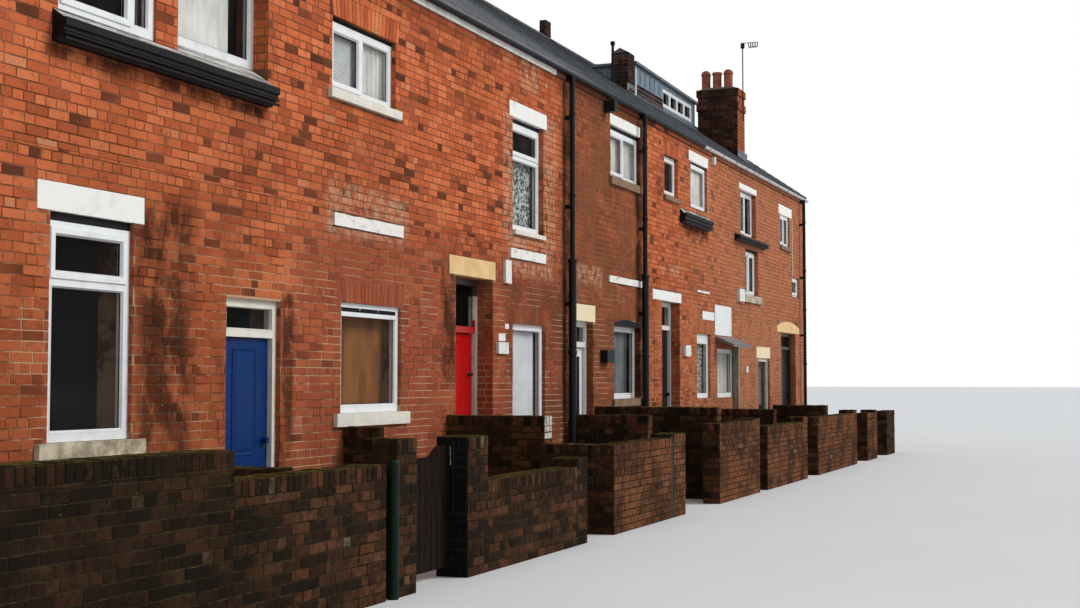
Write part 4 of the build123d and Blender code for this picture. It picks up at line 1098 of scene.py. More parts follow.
def sheen(name, base, duller, wear, edge, bump, roughness, specular=0.5, metallic=0.0):
    """Gloss paint or metal that dust and wear take down."""
    paint = Paint(name, roughness, specular, metallic)
    paint.color = paint.mix(paint.cloud(wear, *edge), base, duller)
    paint.bump(*bump)
    return paint.done()


def gloss(name, *color, roughness=0.28):
    base = linear(*color)
    duller = tuple(channel * 0.72 + 0.01 for channel in base)
    return sheen(name, base, duller, wear=(5, 5, 0.6), edge=(0.45, 0.8, 0, 0.6),
                 bump=((90, 3, 0.55, (1, 1, 0.1)), 0.0005, 0.4), roughness=roughness,
                 specular=0.08)


def metal(name, *color, roughness):
    base = linear(*color)
    duller = tuple(channel * 0.6 for channel in base)
    return sheen(name, base, duller, wear=(14, 5, 0.6), edge=(0.45, 0.75),
                 bump=((80, 4), 0.0008, 0.4), roughness=roughness, metallic=0.9)


def lead():
    return sheen("lead_sheet", linear(112, 114, 118), linear(74, 76, 80), wear=(8, 6, 0.65),
                 edge=(0.35, 0.7), bump=((18, 5), 0.003, 0.5), roughness=0.6, metallic=0.3)


def window_glass():
    """Grubby glass: nearly clear, with a thin film of dirt that also takes the light."""
    paint = Paint("window_glass", roughness=0.04)
    paint.set(paint.shader.inputs["Alpha"], paint.cloud((2.2, 6, 0.65), 0.35, 0.8, 0.05, 0.13))
    paint.bump((1.5, 2), 0.002, 0.15)
    paint.color = paint.mix(paint.noise(6, 4), (0.012, 0.014, 0.015), (0.035, 0.038, 0.038))
    return paint.done()


def fitting_paint():
    """White plastic boxes, cream bell plates, and black ones on the fourth house."""
    paint = Paint("fitting_paint", roughness=0.5, specular=0.15)
    grime = paint.cloud((14, 5, 0.65), 0.45, 0.7, 0, 0.5)
    paint.color = paint.two(grime, (224, 223, 218), (160, 154, 142))
    black_box = paint.between("X", 0.2, 0.6, 0.01)
    paint.over(black_box, 26, 26, 28)
    paint.bump((60, 3), 0.0008, 0.4)
    return paint.done()


def cloth_paint(name, base, shade, weave=420, stretch=(1, 1, 1)):
    """Woven cloth: threads as fine bumps, soft shade in the folds."""
    paint = Paint(name, roughness=0.95, specular=0.15)
    threads = (weave, 2, 0.5, stretch)
    folds = paint.cloud((7, 4, 0.6, (1, 1, 0.2)), 0.35, 0.7)
    paint.color = paint.two(folds, base, shade)
    paint.over(paint.cloud(threads, 0.3, 0.7, 0, 0.25), *shade)
    paint.bump(threads, 0.0006, 0.5)
    return paint.done()


BRICK = house_brick()
YARD_BRICK = yard_brick()
STACK_BRICK = stack_brick()
STREET_MORTAR = street_mortar()
YARD_MORTAR = mortar("yard_mortar", (50, 40, 29), (27, 21, 15))
STACK_MORTAR = mortar("stack_mortar", (66, 54, 46), (40, 32, 28))
CEMENT = mortar("grey_cement", (104, 98, 92), (62, 58, 56))
PAINTED_STONE = painted_stone()
STUB_STONE = stub_stone()
PLAIN_STONE = plain_stone()
SILL_STONE = sill_stone()
SLATE = slate_stone("slate_stone", (66, 70, 78))
PALE_SLATE = slate_stone("pale_slate", (176, 172, 160))
RIDGE_CLAY = ridge_clay()
PLASTIC = white_plastic()
FRAME_PAINT = door_frame_paint()
EAVES_BOARD = eaves_board()
GUTTER_PAINT = gutter_paint()
PIPE_PAINT = pipe_paint()
IRON = dark_iron()
LEDGE_BOARDS = ledge_boards()
CLAY = terracotta()
GATE_WOOD = wood("gate_wood", (18, 13, 10), (42, 30, 22))
POST_PAINT = post_paint()
BLUE = gloss("blue_gloss", 6, 46, 100)
RED = gloss("red_gloss", 178, 8, 10)
BLACK_DOOR = gloss("black_gloss", 24, 24, 27)
WHITE_GLOSS = gloss("white_gloss", 222, 222, 218)
# Door panes: gloss made dark as painted shade of the dim hall behind the glass.
SHADED_DOOR_GLASS = gloss("shaded_door_glass", 34, 38, 42, roughness=0.08)
RUBBER = gloss("rubber_seal", 24, 24, 26, roughness=0.7)
STEEL = metal("dull_steel", 150, 150, 150, roughness=0.4)
BRASS = metal("dark_brass", 70, 58, 40, roughness=0.45)
GLASS = window_glass()
BOARDS = floor_boards()
CONCRETE = concrete()
CLADDING = cladding()
LEAD = lead()
CANOPY_WOOD = wood("canopy_wood", (164, 152, 136), (112, 100, 86))
FITTING = fitting_paint()
BROWN_BLIND = cloth_paint("brown_blind", (150, 98, 52), (112, 70, 36), weave=300,
                          stretch=(0.04, 1, 1))
WHITE_CLOTH = cloth_paint("white_cloth", (240, 238, 230), (206, 204, 196))
GREY_NET = cloth_paint("grey_net", (150, 154, 154), (104, 110, 112))
PATTERNED_NET = patterned_net()

NODE_PAINTS = {
    "aerial": IRON, "attic_floor": BOARDS, "boxed_ledges": LEDGE_BOARDS,
    "canopy_board": CANOPY_WOOD, "chimney_pots": CLAY, "chimney_stack": STACK_MORTAR,
    "door_hinges": STEEL, "door_posts": FRAME_PAINT, "door_rails": FRAME_PAINT,
    "doorsteps": CONCRETE, "doorway_heads": STREET_MORTAR, "dormer_frame": PLASTIC,
    "dormer_glass": GLASS, "dormer_roof": LEAD, "dormer_walls": CLADDING,
    "downpipes": PIPE_PAINT, "end_walls": STREET_MORTAR, "fanlight_glass": GLASS,
    "fascia_boards": EAVES_BOARD, "front_wall_ground": STREET_MORTAR,
    "front_wall_upper": STREET_MORTAR, "garden_dividers": YARD_MORTAR,
    "garden_gate": GATE_WOOD, "garden_piers": YARD_MORTAR, "garden_posts": POST_PAINT,
    "garden_walls": YARD_MORTAR, "gate_hinges": STEEL, "ground_floors": CONCRETE,
    "gutters": GUTTER_PAINT, "head_strips": IRON, "lintels_painted": PAINTED_STONE,
    "lintels_stone": PLAIN_STONE, "party_walls": STREET_MORTAR, "rear_wall": STREET_MORTAR,
    "ridge_tiles": RIDGE_CLAY, "roof_front": SLATE, "roof_rear": SLATE,
    "small_stacks": CEMENT, "upper_floors": BOARDS, "vent_pipe": IRON,
    "wall_boards": PLASTIC, "wall_boxes": FITTING, "wall_stubs": STUB_STONE,
    "window_canopy": PALE_SLATE, "window_frames_ground": PLASTIC,
    "window_frames_upper": PLASTIC, "window_glass_ground": GLASS,
    "window_glass_upper": GLASS, "window_sills": SILL_STONE, "door_leaf_0": BLUE,
    "door_leaf_1": BLUE, "door_leaf_2": RED, "door_leaf_3": WHITE_GLOSS,
    "door_leaf_4": BLACK_DOOR, "door_leaf_5": BLACK_DOOR, "door_leaf_6": BLACK_DOOR,
}


def paint_nodes():
    for node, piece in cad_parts.items():
        piece.data.materials.clear()
        piece.data.materials.append(NODE_PAINTS[node])


# Brickwork of the houses

def doorways():
    """The holes of the doors in the street face, from the gaps between the wall's stretches."""
    stretches = solids_of("front_wall_ground")
    return [(before[1].x, after[0].x, 0.0, post[1].z)
            for before, after, post in zip(stretches, stretches[1:], POSTS[::2])]


def opening_over(frame_box, strips):
    """A window's hole: its frame with the dark strip over it, if it has one."""
    left, right, low, high = rect_of(frame_box)
    for strip in strips:
        if abs(strip[0].x - left) < 0.01 and abs(strip[0].z - high) < 0.01:
            high = strip[1].z
    return left, right, low, high


def street_openings():
    """Each hole of the street face with how far its frame stands back."""
    strips = solids_of("head_strips")
    found = [(opening_over(box, strips), box[0].y - FACE) for box, _ in GROUND + UPPER]
    for hole, post in zip(doorways(), POSTS[::2]):
        found.append((hole, post[0].y - FACE))
    return found


def stone_rects(side):
    return [rect_of(box) for node in STONE_NODES for box in side(solids_of(node))]


def needs_arch(hole, stones):
    """Whether no stone lies over a hole that has bricks over it."""
    left, right, low, high = hole
    is_doorway = low == 0.0
    return not is_doorway and not any(
        stone[0] < right and stone[1] > left and abs(stone[2] - high) < 0.02
        for stone in stones)


def arch_over(hole):
    rise = ARCHED_HEAD if is_arched(hole) else 0.0
    return (hole[0] - ARCH_REACH, hole[1] + ARCH_REACH, hole[3] + rise,
            hole[3] + rise + ARCH_HEIGHT)


def is_arched(hole):
    """The fourth house's ground window has a shallow brick arch with a dark board under it,
    painted shade for the recess there.
    """
    return abs(hole[0] - GROUND[3][0][0].x) < 0.01 and hole[2] < STOREY_SPLIT


def mirror_rects(rects):
    """Rectangles seen from behind the row."""
    return [(-right, -left, low, high) for left, right, low, high in rects]


def gable_sides(height):
    """How far an end wall reaches to front and back at a height, along y."""
    if height < WALL_TOP:
        return FACE, REAR_FACE
    reach = (height - WALL_TOP) / math.tan(PITCH)
    return FACE + reach, REAR_FACE - reach


def left_gable_sides(height):
    front, back = gable_sides(height)
    return -back, -front


def street_brickwork():
    stones = stone_rects(front_ones)
    openings = street_openings()
    holes = stones + [hole for hole, _ in openings]
    arches = [arch_over(hole) for hole, _ in openings if needs_arch(hole, stones)]
    arched_gaps = [(hole[0], hole[1], hole[3], hole[3] + ARCHED_HEAD)
                   for hole, _ in openings if is_arched(hole)]
    cut = holes + arches + arched_gaps
    lower = Bricks()
    lay_wall(lower, STREET, ROW_LEFT, ROW_RIGHT, 0, STOREY_SPLIT, cut)
    upper = Bricks()
    lay_wall(upper, STREET, ROW_LEFT, ROW_RIGHT, STOREY_SPLIT, BRICK_TOP, cut)
    for arch in arches:
        lay_arch(lower if arch[2] < STOREY_SPLIT else upper, STREET, arch)
    for hole, depth in openings:
        lay_reveals(lower if hole[2] < STOREY_SPLIT else upper, hole, STREET, depth)
    lower.done("bricks_street_lower", BRICK)
    upper.done("bricks_street_upper", BRICK)
    arch_shade_boards(arched_gaps)


def arch_shade_boards(gaps):
    """Dark boards that fill the shallow arch over a window, as painted shade in place of its
    shadowed recess.
    """
    boards = Mesh()
    for left, right, low, high in gaps:
        count = 16
        front = []
        for index in range(count + 1):
            along = index / count
            rise = (high - low) * (0.45 + 0.55 * (1 - (2 * along - 1) ** 2))
            front.append((left + (right - left) * along, low + rise))
        outline = [(left, low), (right, low)] + front[::-1]
        loops = [[on_flat(STREET, u, v, out) for u, v in outline] for out in (-0.002, 0.006)]
        boards.rings(loops, cap_last=True)
    boards.done("arch_shade_board", IRON, "black_paint")


def lay_reveals(bricks, hole, flat, depth):
    """Brick ends on the two sides of an opening, as deep as the frame stands back."""
    left, right, low, high = hole
    for x, out in ((left, 1), (right, -1)):
        side = Flat(flat.origin + flat.along * x, -flat.out, flat.up, flat.along * out)
        turned = side.along.cross(side.up).dot(side.out) < 0
        first = math.ceil(low / COURSE)
        last = math.floor(high / COURSE)
        for course in range(first, last):
            course_low = course * COURSE + JOINT / 2
            course_high = course_low + BRICK_HEIGHT
            for start, end in reveal_run(depth, course):
                corners = corners_of(start, end, course_low, course_high)
                if turned:
                    corners = corners[::-1]
                bricks.quad(side, corners, REVEAL_PROUD)


def reveal_run(depth, course):
    """The brick ends of one course of a reveal, one or two of them."""
    if depth < HEADER * 1.2:
        return [(REVEAL_START, depth)]
    split = HEADER if course % 2 else depth - HEADER
    return [(REVEAL_START, split - JOINT), (split, depth)]


def eaves_bricks():
    """The courses under the gutter from the fourth house on, where no board hides them."""
    bricks = Bricks()
    for low, high in front_ones(solids_of("fascia_boards")):
        left = max(low.x, PARTY_LINES[2])
        if high.x - left > STRETCHER:
            lay_wall(bricks, street_plane(low.y), left, high.x, low.z, high.z)
    bricks.done("eaves_bricks", BRICK)


def rear_brickwork():
    stones = mirror_rects(stone_rects(rear_ones))
    openings = mirror_rects([rect_of(box) for box, _ in REAR_WINDOWS])
    bricks = Bricks()
    lay_wall(bricks, REAR, -ROW_RIGHT, -ROW_LEFT, 0, BRICK_TOP, stones + openings)
    depth = REAR_FACE - REAR_WINDOWS[0][0][1].y
    for hole in openings:
        lay_reveals(bricks, hole, REAR, depth)
    bricks.done("bricks_rear", BRICK)


def end_brickwork():
    top = ROOF_HIGH.z - GABLE_BELOW_RIDGE
    bricks = Bricks()
    lay_wall(bricks, right_plane(ROW_RIGHT), FACE, REAR_FACE, 0, top, sides=gable_sides)
    lay_wall(bricks, left_plane(ROW_LEFT), -REAR_FACE, -FACE, 0, top, sides=left_gable_sides)
    bricks.done("bricks_ends", BRICK)


# Yard walls

def block_brickwork(bricks, box):
    """Bricks on the four faces of a free-standing block, with a coping of bricks on edge."""
    low, high = box
    top = high.z - COPING_HEIGHT
    for flat, start, end in block_faces(low, high):
        lay_wall(bricks, flat, start, end, 0, top)
        lay_coping_face(bricks, flat, start, end, top, high.z)
    lay_coping_top(bricks, low, high)


def block_faces(low, high):
    return (
        (street_plane(low.y), low.x, high.x),
        (rear_plane(high.y), -high.x, -low.x),
        (left_plane(low.x), -high.y, -low.y),
        (right_plane(high.x), low.y, high.y),
    )


def coping_bricks(start, end):
    """Where the bricks on edge of a coping start and end."""
    count = max(1, round((end - start) / COURSE))
    width = (end - start) / count
    places = []
    for index in range(count):
        at = start + index * width
        places.append((at + JOINT / 2, at + width - JOINT / 2))
    return places


def lay_coping_face(bricks, flat, start, end, low, high):
    bottom = low + JOINT / 2
    for left, right in coping_bricks(start, end):
        lean = random.uniform(-COPING_UNEVEN, COPING_UNEVEN)
        bricks.quad(flat, ((left, bottom), (right, bottom), (right + lean, high),
                           (left + lean, high)), PROUD + random.uniform(0, COPING_UNEVEN))


def lay_coping_top(bricks, low, high):
    """The tops of the coping bricks, seen from above."""
    along_x = high.x - low.x > high.y - low.y
    if along_x:
        flat = flat_of((0, low.y, high.z), (1, 0, 0), (0, 1, 0), (0, 0, 1))
        start, end, depth = low.x, high.x, high.y - low.y
    else:
        flat = flat_of((low.x, 0, high.z), (0, 1, 0), (1, 0, 0), (0, 0, 1))
        start, end, depth = low.y, high.y, high.x - low.x
    for left, right in coping_bricks(start, end):
        corners = corners_of(left, right, 0, depth)
        if not along_x:
            corners = corners[::-1]
        bricks.quad(flat, corners, proud=random.uniform(0.001, 0.007))


def yard_blocks():
    """Every block of the yards; the first wall is two, since it steps down."""
    first, *others = solids_of("garden_walls")
    low, high = first
    step = low.x + WALL_STEP_FROM_END
    blocks = [(low, Vector((step, high.y, high.z))),
              (Vector((step, low.y, low.z)), Vector((high.x, high.y, LOWER_WALL_TOP)))]
    return blocks + others + solids_of("garden_piers") + solids_of("garden_dividers")


def yard_brickwork():
    bricks = Bricks()
    for box in yard_blocks():
        block_brickwork(bricks, box)
    bricks.done("bricks_yard", YARD_BRICK, "yard_brick")


# Chimneys and roof

def roof_height(y):
    """The top of the front slope's slates over a place."""
    return ROOF_HIGH.z - (ROOF_HIGH.y - y) * math.tan(PITCH)


def lay_stack(bricks, low, high, top):
    """Bricks on a stack that stands on the front slope, up to a height."""
    def across_left(height):
        reach = min(high.y, ROOF_HIGH.y - (ROOF_HIGH.z - height) / math.tan(PITCH))
        return -reach, -low.y

    def across_right(height):
        back, front = across_left(height)
        return -front, -back

    bottom = max(low.z, 0)
    lay_wall(bricks, street_plane(low.y), low.x, high.x,
             max(bottom, roof_height(low.y)), top)
    if roof_height(high.y) < top:
        lay_wall(bricks, rear_plane(high.y), -high.x, -low.x,
                 max(bottom, roof_height(high.y)), top)
    lay_wall(bricks, left_plane(low.x), -high.y, -low.y, bottom, top, sides=across_left)
    lay_wall(bricks, right_plane(high.x), low.y, high.y, bottom, top, sides=across_right)


def chimney_brickwork():
    bricks = Bricks()
    low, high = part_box("chimney_stack")
    inner_low = low + Vector((CORBEL_PROUD, CORBEL_PROUD, 0))
    inner_high = high - Vector((CORBEL_PROUD, CORBEL_PROUD, 0))
    starts = [low.z] + [band[1] for band in CORBEL_BANDS]
    for start, band in zip(starts, CORBEL_BANDS):
        lay_stack(bricks, Vector((inner_low.x, inner_low.y, start)), inner_high, band[0])
        lay_stack(bricks, Vector((low.x, low.y, band[0])), high, band[1])
    stub, side = sorted(solids_of("small_stacks"), key=lambda box: -box[0].x)
    lay_stack(bricks, side[0], side[1], SIDE_STACK_TOP)
    stub_low = Vector((stub[0].x, stub[0].y, ROOF_HIGH.z))
    lay_stack(bricks, stub_low, stub[1], stub[1].z)
    dormer_low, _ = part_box("dormer_walls")
    window_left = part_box("dormer_frame")[0].x
    lay_wall(bricks, street_plane(dormer_low.y), dormer_low.x + 0.08, window_left,
             roof_height(dormer_low.y) + 0.01, DORMER_BRICK_TOP)
    bricks.done("bricks_stacks", STACK_BRICK, "sooty_brick")
    flaunching(high, inner_low, inner_high)


def flaunching(high, inner_low, inner_high):
    """The sloped cement round the feet of the pots."""
    cement = Mesh()
    loops = []
    for inset, rise in FLAUNCHING_RINGS:
        loops.append(octagon(inner_low.x + inset, inner_high.x - inset, inner_low.y + inset,
                             inner_high.y - inset, high.z + rise + 0.001, 0.02))
    cement.rings(loops, cap_last=True)
    cement.done("pot_cement", CEMENT, "concrete")


def lead_flashings():
    """Lead aprons on the slates before the stacks and the dormer."""
    sheets = Mesh()
    for node, upstand in APRONS:
        low, high = solids_of(node)[0]
        lay_apron(sheets, low.x - APRON_OVERHANG, high.x + APRON_OVERHANG, low.y, upstand)
    sheets.done("lead_aprons", LEAD, "steel")


def lay_apron(sheets, left, right, y, upstand):
    """A strip of lead dressed down over the slates, with an upstand behind it."""
    section = []
    for before, lift in APRON_FALL:
        section.append((y - before, roof_height(y - before) + lift / math.cos(PITCH)))
    section.append((y - 0.006, roof_height(y) + upstand))
    loops = []
    for x in evenly(left, right, 0.1, 2):
        sag = uneven((x, y, 0), 5, 0.004)
        loops.append([(x, sy, sz + sag) for sy, sz in section])
    sheets.rings(loops, closed=False)


def ridge_joints():
    """Mortar bands between the ridge tiles."""
    bands = Mesh()
    for low, high in solids_of("ridge_tiles"):
        count = round((high.x - low.x) / RIDGE_TILE_LENGTH)
        step = (high.x - low.x) / count
        middle = (low.y + high.y) / 2
        for index in range(1, count):
            x = low.x + index * step
            loops = []
            for at in (x - 0.012, x - 0.008, x + 0.008, x + 0.012):
                lift = 0.0 if at in (x - 0.012, x + 0.012) else 0.004
                loops.append([(at, low.y, low.z + 0.03), (at, low.y, low.z + 0.036 + lift),
                              (at, middle, high.z + lift), (at, high.y, low.z + 0.036 + lift),
                              (at, high.y, low.z + 0.03)])
            bands.rings(loops, closed=False)
    bands.done("ridge_mortar", CEMENT, "concrete")


def roof_slates():
    sine = math.sin(PITCH)
    cosine = math.cos(PITCH)
    length = (ROOF_HIGH.y - ROOF_LOW.y) / cosine
    eaves_top = ROOF_HIGH.z - length * sine
    front = flat_of((0, ROOF_LOW.y, eaves_top), (1, 0, 0), (0, cosine, sine),
                    (0, -sine, cosine))
    back_edge = 2 * ROOF_HIGH.y - ROOF_LOW.y
    back = flat_of((0, back_edge, eaves_top), (-1, 0, 0), (0, -cosine, sine),
                   (0, sine, cosine))
    for name, flat, left, right, holes in (
            ("slates_front", front, ROW_LEFT, ROW_RIGHT, roof_holes(front)),
            ("slates_rear", back, -ROW_RIGHT, -ROW_LEFT, ())):
        slates = Mesh()
        slate_slope(slates, flat, left, right, length, holes)
        slates.done(name, SLATE, "slate")


def roof_holes(flat):
    """Where the dormer and the stacks stand through the slates, on the slope."""
    def up_slope(y):
        return (y - flat.origin.y) / math.cos(PITCH)

    low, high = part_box("dormer_walls")
    holes = [(low.x, high.x, up_slope(low.y), up_slope(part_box("dormer_roof")[1].y))]
    for low, high in solids_of("chimney_stack") + solids_of("small_stacks")[:1]:
        holes.append((low.x + CORBEL_PROUD, high.x - CORBEL_PROUD,
                      up_slope(low.y + CORBEL_PROUD), up_slope(high.y - CORBEL_PROUD)))
    return holes


def canopy_slates():
    """Two rows of pale slates on the little canopy."""
    low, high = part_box("window_canopy")
    thick = 0.04
    run = high.y - low.y
    rise = high.z - low.z - thick
    length = math.hypot(run, rise)
    flat = flat_of((0, low.y, low.z + thick), (1, 0, 0), (0, run / length, rise / length),
                   (0, -rise / length, run / length))
    slates = Mesh()
    slate_slope(slates, flat, low.x, high.x, length)
    slates.done("canopy_slates", PALE_SLATE, "slate")


def dormer_trim():
    """Standing seams on the dormer's sheets and a white strip up its left corner."""
    low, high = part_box("dormer_walls")
    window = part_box("dormer_frame")
    front = low.y
    near, far = 0.0005, 0.014
    seam_top = high.z - 0.06
    seams = Mesh()
    x = low.x + SEAM_STEP
    while x < high.x - 0.05:
        bottom = DORMER_BRICK_TOP + 0.01 if x < window[0].x else low.z + 0.01
        if not window[0].x <= x < window[1].x + 0.02:
            seams.box((x - SEAM_HALF_WIDTH, front - far, bottom),
                      (x + SEAM_HALF_WIDTH, front - near, seam_top), edge=0.003)
        x += SEAM_STEP
    y = front + 0.25
    while y < high.y - 0.1:
        for inner, outer in ((low.x - far, low.x - near), (high.x + near, high.x + far)):
            seams.box((inner, y - SEAM_HALF_WIDTH, roof_height(y) + 0.012),
                      (outer, y + SEAM_HALF_WIDTH, seam_top), edge=0.003)
        y += SEAM_STEP
    seams.done("dormer_seams", CLADDING, "blue_cladding")
    strip = Mesh()
    corner = (low.x - 0.012, front - 0.016, low.z)
    for end_x, end_y in ((low.x + 0.05, front - near), (low.x - near, front + 0.06)):
        strip.box(corner, (end_x, end_y, high.z - 0.055), edge=0.003)
    strip.done("dormer_corner_strip", PLASTIC, "white_plastic")


# Windows

def window_sashes():
    """Beads round the fixed lights, thicker sashes round those that open, and their seals."""
    sashes = Mesh()
    seals = Mesh()

    def trim(plane, rect, opens=False):
        rect_sweep(sashes, plane, rect, OPEN_SASH if opens else FIXED_BEAD)
        rect_sweep(seals, plane, rect, OPEN_SEAL if opens else FIXED_SEAL)

    for storey, windows in (("ground", GROUND), ("upper", UPPER)):
        for index, (box, panes) in enumerate(windows):
            for pane_index, pane in enumerate(panes):
                trim(street_plane(box[0].y), rect_of(pane),
                     (storey, index, pane_index) in OPENING_LIGHTS)
    for box, panes in REAR_WINDOWS:
        for rect in mirror_rects([rect_of(pane) for pane in panes]):
            trim(rear_plane(box[1].y), rect)
    for pane in solids_of("dormer_glass"):
        trim(street_plane(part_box("dormer_frame")[0].y), rect_of(pane))
    sashes.done("window_sashes", PLASTIC, "white_plastic")
    seals.done("window_seals", RUBBER, "black_paint")


def vent_rail():
    """The slotted rail across the top of the second house's ground window."""
    box, panes = GROUND[1]
    left, right, _, high = rect_of(panes[0])
    top = high + 0.02
    bottom = top - 0.093
    face = box[0].y
    rail = Mesh()
    rail.box((left - 0.01, face - 0.012, bottom), (right + 0.01, face + 0.022, bottom + 0.045),
             edge=0.004)
    slots = Mesh()
    width = (right - left) / VENT_SLOTS
    for index in range(VENT_SLOTS):
        start = left + index * width + 0.006
        slots.box((start, face - 0.004, bottom + 0.047),
                  (start + width - 0.012, face + 0.01, top - 0.006), edge=0.002)
    rail.done("vent_rail", PLASTIC, "white_plastic")
    slots.done("vent_slots", RUBBER, "black_paint")


Cloth = namedtuple("Cloth", "name storey window pane behind paint folds depth cover",
                   defaults=(0, 0.0, 1.0))
CLOTHS = (
    Cloth("brown_blind", GROUND, 1, 0, 0.10, BROWN_BLIND),
    Cloth("house_3_net", GROUND, 3, 0, 0.07, GREY_NET, 7, 0.012),
    Cloth("house_4_net", GROUND, 4, 0, 0.05, PATTERNED_NET, 5, 0.01),
    Cloth("canopy_curtain", GROUND, 5, 0, 0.05, WHITE_CLOTH, 9, 0.02),
    Cloth("pair_net", UPPER, 0, 1, 0.06, GREY_NET, 3, 0.010),
    Cloth("pair_blind", UPPER, 1, 0, 0.02, WHITE_CLOTH, cover=0.8),
    Cloth("small_curtain", UPPER, 2, 1, 0.03, WHITE_CLOTH, 6, 0.016),
    Cloth("tall_net", UPPER, 3, 0, 0.05, PATTERNED_NET, 5, 0.008),
    Cloth("white_curtain_left", UPPER, 4, 0, 0.03, WHITE_CLOTH, 5, 0.014),
    Cloth("white_curtain_right", UPPER, 4, 1, 0.03, WHITE_CLOTH, 5, 0.014),
    Cloth("bright_blind", UPPER, 6, 0, 0.02, WHITE_CLOTH),
    Cloth("far_net_left", UPPER, 7, 0, 0.06, GREY_NET, 4, 0.012),
    Cloth("far_net_low", UPPER, 8, 0, 0.06, GREY_NET, 4, 0.012),
    Cloth("end_curtain", UPPER, 9, 0, 0.06, WHITE_CLOTH, 4, 0.014),
    Cloth("end_blind", UPPER, 10, 0, 0.05, WHITE_CLOTH),
)


def cloth_place(cloth):
    """Left, right, low, high and y of where a cloth hangs behind its pane."""
    _, panes = cloth.storey[cloth.window]
    left, right, low, high = rect_of(panes[cloth.pane])
    left += CLOTH_MARGIN
    right = left + (right - CLOTH_MARGIN - left) * cloth.cover
    return left, right, low + CLOTH_ABOVE_SILL, high, panes[0][1].y + cloth.behind


def curtain_rails():
    """A rail over each blind and curtain, held to the frame by a bracket at each end."""
    rails = Mesh()
    for cloth in CLOTHS:
        left, right, _, high, y = cloth_place(cloth)
        back = cloth.storey[cloth.window][0][1].y
        rails.box((left, y - 0.008, high), (right, y + 0.008, high + 0.018), edge=0.003)
        for x in (left, right - 0.012):
            rails.box((x, min(back, y) - 0.001, high + 0.002),
                      (x + 0.012, max(back, y) + 0.001, high + 0.016), edge=0.002)
    rails.done("curtain_rails", PLASTIC, "white_plastic")


def hang_cloth(cloth):
    """A blind hangs flat, a curtain in folds that open a little towards the hem."""
    left, right, low, high, y = cloth_place(cloth)
    columns = max(8, cloth.folds * 12)
    rows = 10
    width = right - left
    loops = []
    for row in range(rows + 1):
        down = row / rows
        z = high - (high - low) * down
        loop = []
        for column in range(columns + 1):
            along = column / columns
            turn = 2 * math.pi * cloth.folds * along + 0.7 * math.sin(5 * along + down)
            fold = cloth.depth * (0.8 + 0.2 * down) * math.sin(turn)
            wander = 0.0015 * math.sin(3 * along * math.pi) * down
            loop.append(Vector((left + width * along, y + fold + wander, z)))
        loops.append(loop)
    mesh = Mesh()
    mesh.rings(loops, closed=False)
    piece = mesh.done(cloth.name, cloth.paint, "curtain_cloth", smooth=True)


def slat_section(first, second, half, bow, turn, count):
    """Points across one bowed slat, turned about its middle (first, second)."""
    points = []
    for step in range(count):
        along = -1 + step * 2 / (count - 1)
        hollow = bow * (1 - along * along)
        points.append((first + half * along * math.cos(turn) + hollow * math.sin(turn),
                       second + half * along * math.sin(turn) - hollow * math.cos(turn)))
    return points


def upright_slats():
    """The French window's upright slats, each turned a little."""
    _, panes = GROUND[2]
    left, right, low, high = rect_of(panes[0])
    y = panes[0][1].y + SLAT_BEHIND_GLASS
    slats = Mesh()
    for index in range(int((right - left - 0.03) / SLAT_PITCH)):
        middle = left + 0.05 + index * SLAT_PITCH
        turn = math.radians(-16 + 5 * math.sin(index * 1.9))
        section = slat_section(middle, y, SLAT_HALF_WIDTH, 0.004, turn, 5)
        slats.rings([[(x, slat_y, low + 0.02), (x, slat_y, high - 0.012)]
                     for x, slat_y in section], closed=False, tone=random.random())
    slats.box((left + 0.005, y - 0.02, high - 0.012), (right - 0.005, y + 0.02, high + 0.012),
              edge=0.004)
    slats.done("upright_slats", PLASTIC, "white_plastic")


def level_slats():
    """The fine level slats in the left light of the second house's upper window."""
    _, panes = UPPER[2]
    left, right, low, high = rect_of(panes[0])
    y = panes[0][1].y + FINE_SLAT_BEHIND_GLASS
    turn = math.radians(68)
    slats = Mesh()
    for index in range(int((high - low - 0.03) / FINE_SLAT_PITCH)):
        z = high - 0.03 - index * FINE_SLAT_PITCH
        section = slat_section(y, z, FINE_SLAT_HALF_WIDTH, -0.002, turn, 4)
        slats.rings([[(right - 0.008, slat_y, slat_z), (left + 0.008, slat_y, slat_z)]
                     for slat_y, slat_z in section], closed=False)
    slats.box((left + 0.006, y - 0.014, high - 0.018), (right - 0.006, y + 0.014, high + 0.008),
              edge=0.003)
    slats.done("level_slats", PLASTIC, "white_plastic")


# Doors

def leaf_of(number):
    """A door leaf's place without its knob and knuckles: left, right, low, high and face."""
    low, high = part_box(f"door_leaf_{number}")
    left = POSTS[2 * number][1].x + LEAF_GAP
    right = POSTS[2 * number + 1][0].x - LEAF_GAP
    return left, right, low.z, high.z, low.y + KNOB_REACH


def body_of(number):
    return f"door_{number}" if number else "row"


def panelled_door(number, paint, slot, stile_left, stile_right):
    """A tall panel over a low one, between the stiles."""
    left, right, low, high, face = leaf_of(number)
    panels = Mesh()
    split = low + MIDDLE_RAIL_SHARE * (high - low)
    for bottom, top in ((low + BOTTOM_RAIL, split - HALF_MIDDLE_RAIL),
                        (split + HALF_MIDDLE_RAIL, high - TOP_RAIL)):
        rect = (left + stile_left, right - stile_right, bottom, top)
        rect_sweep(panels, street_plane(face), rect, PANEL, cap=True)
    panels.done(f"door_panels_{number}", paint, slot, body=body_of(number))


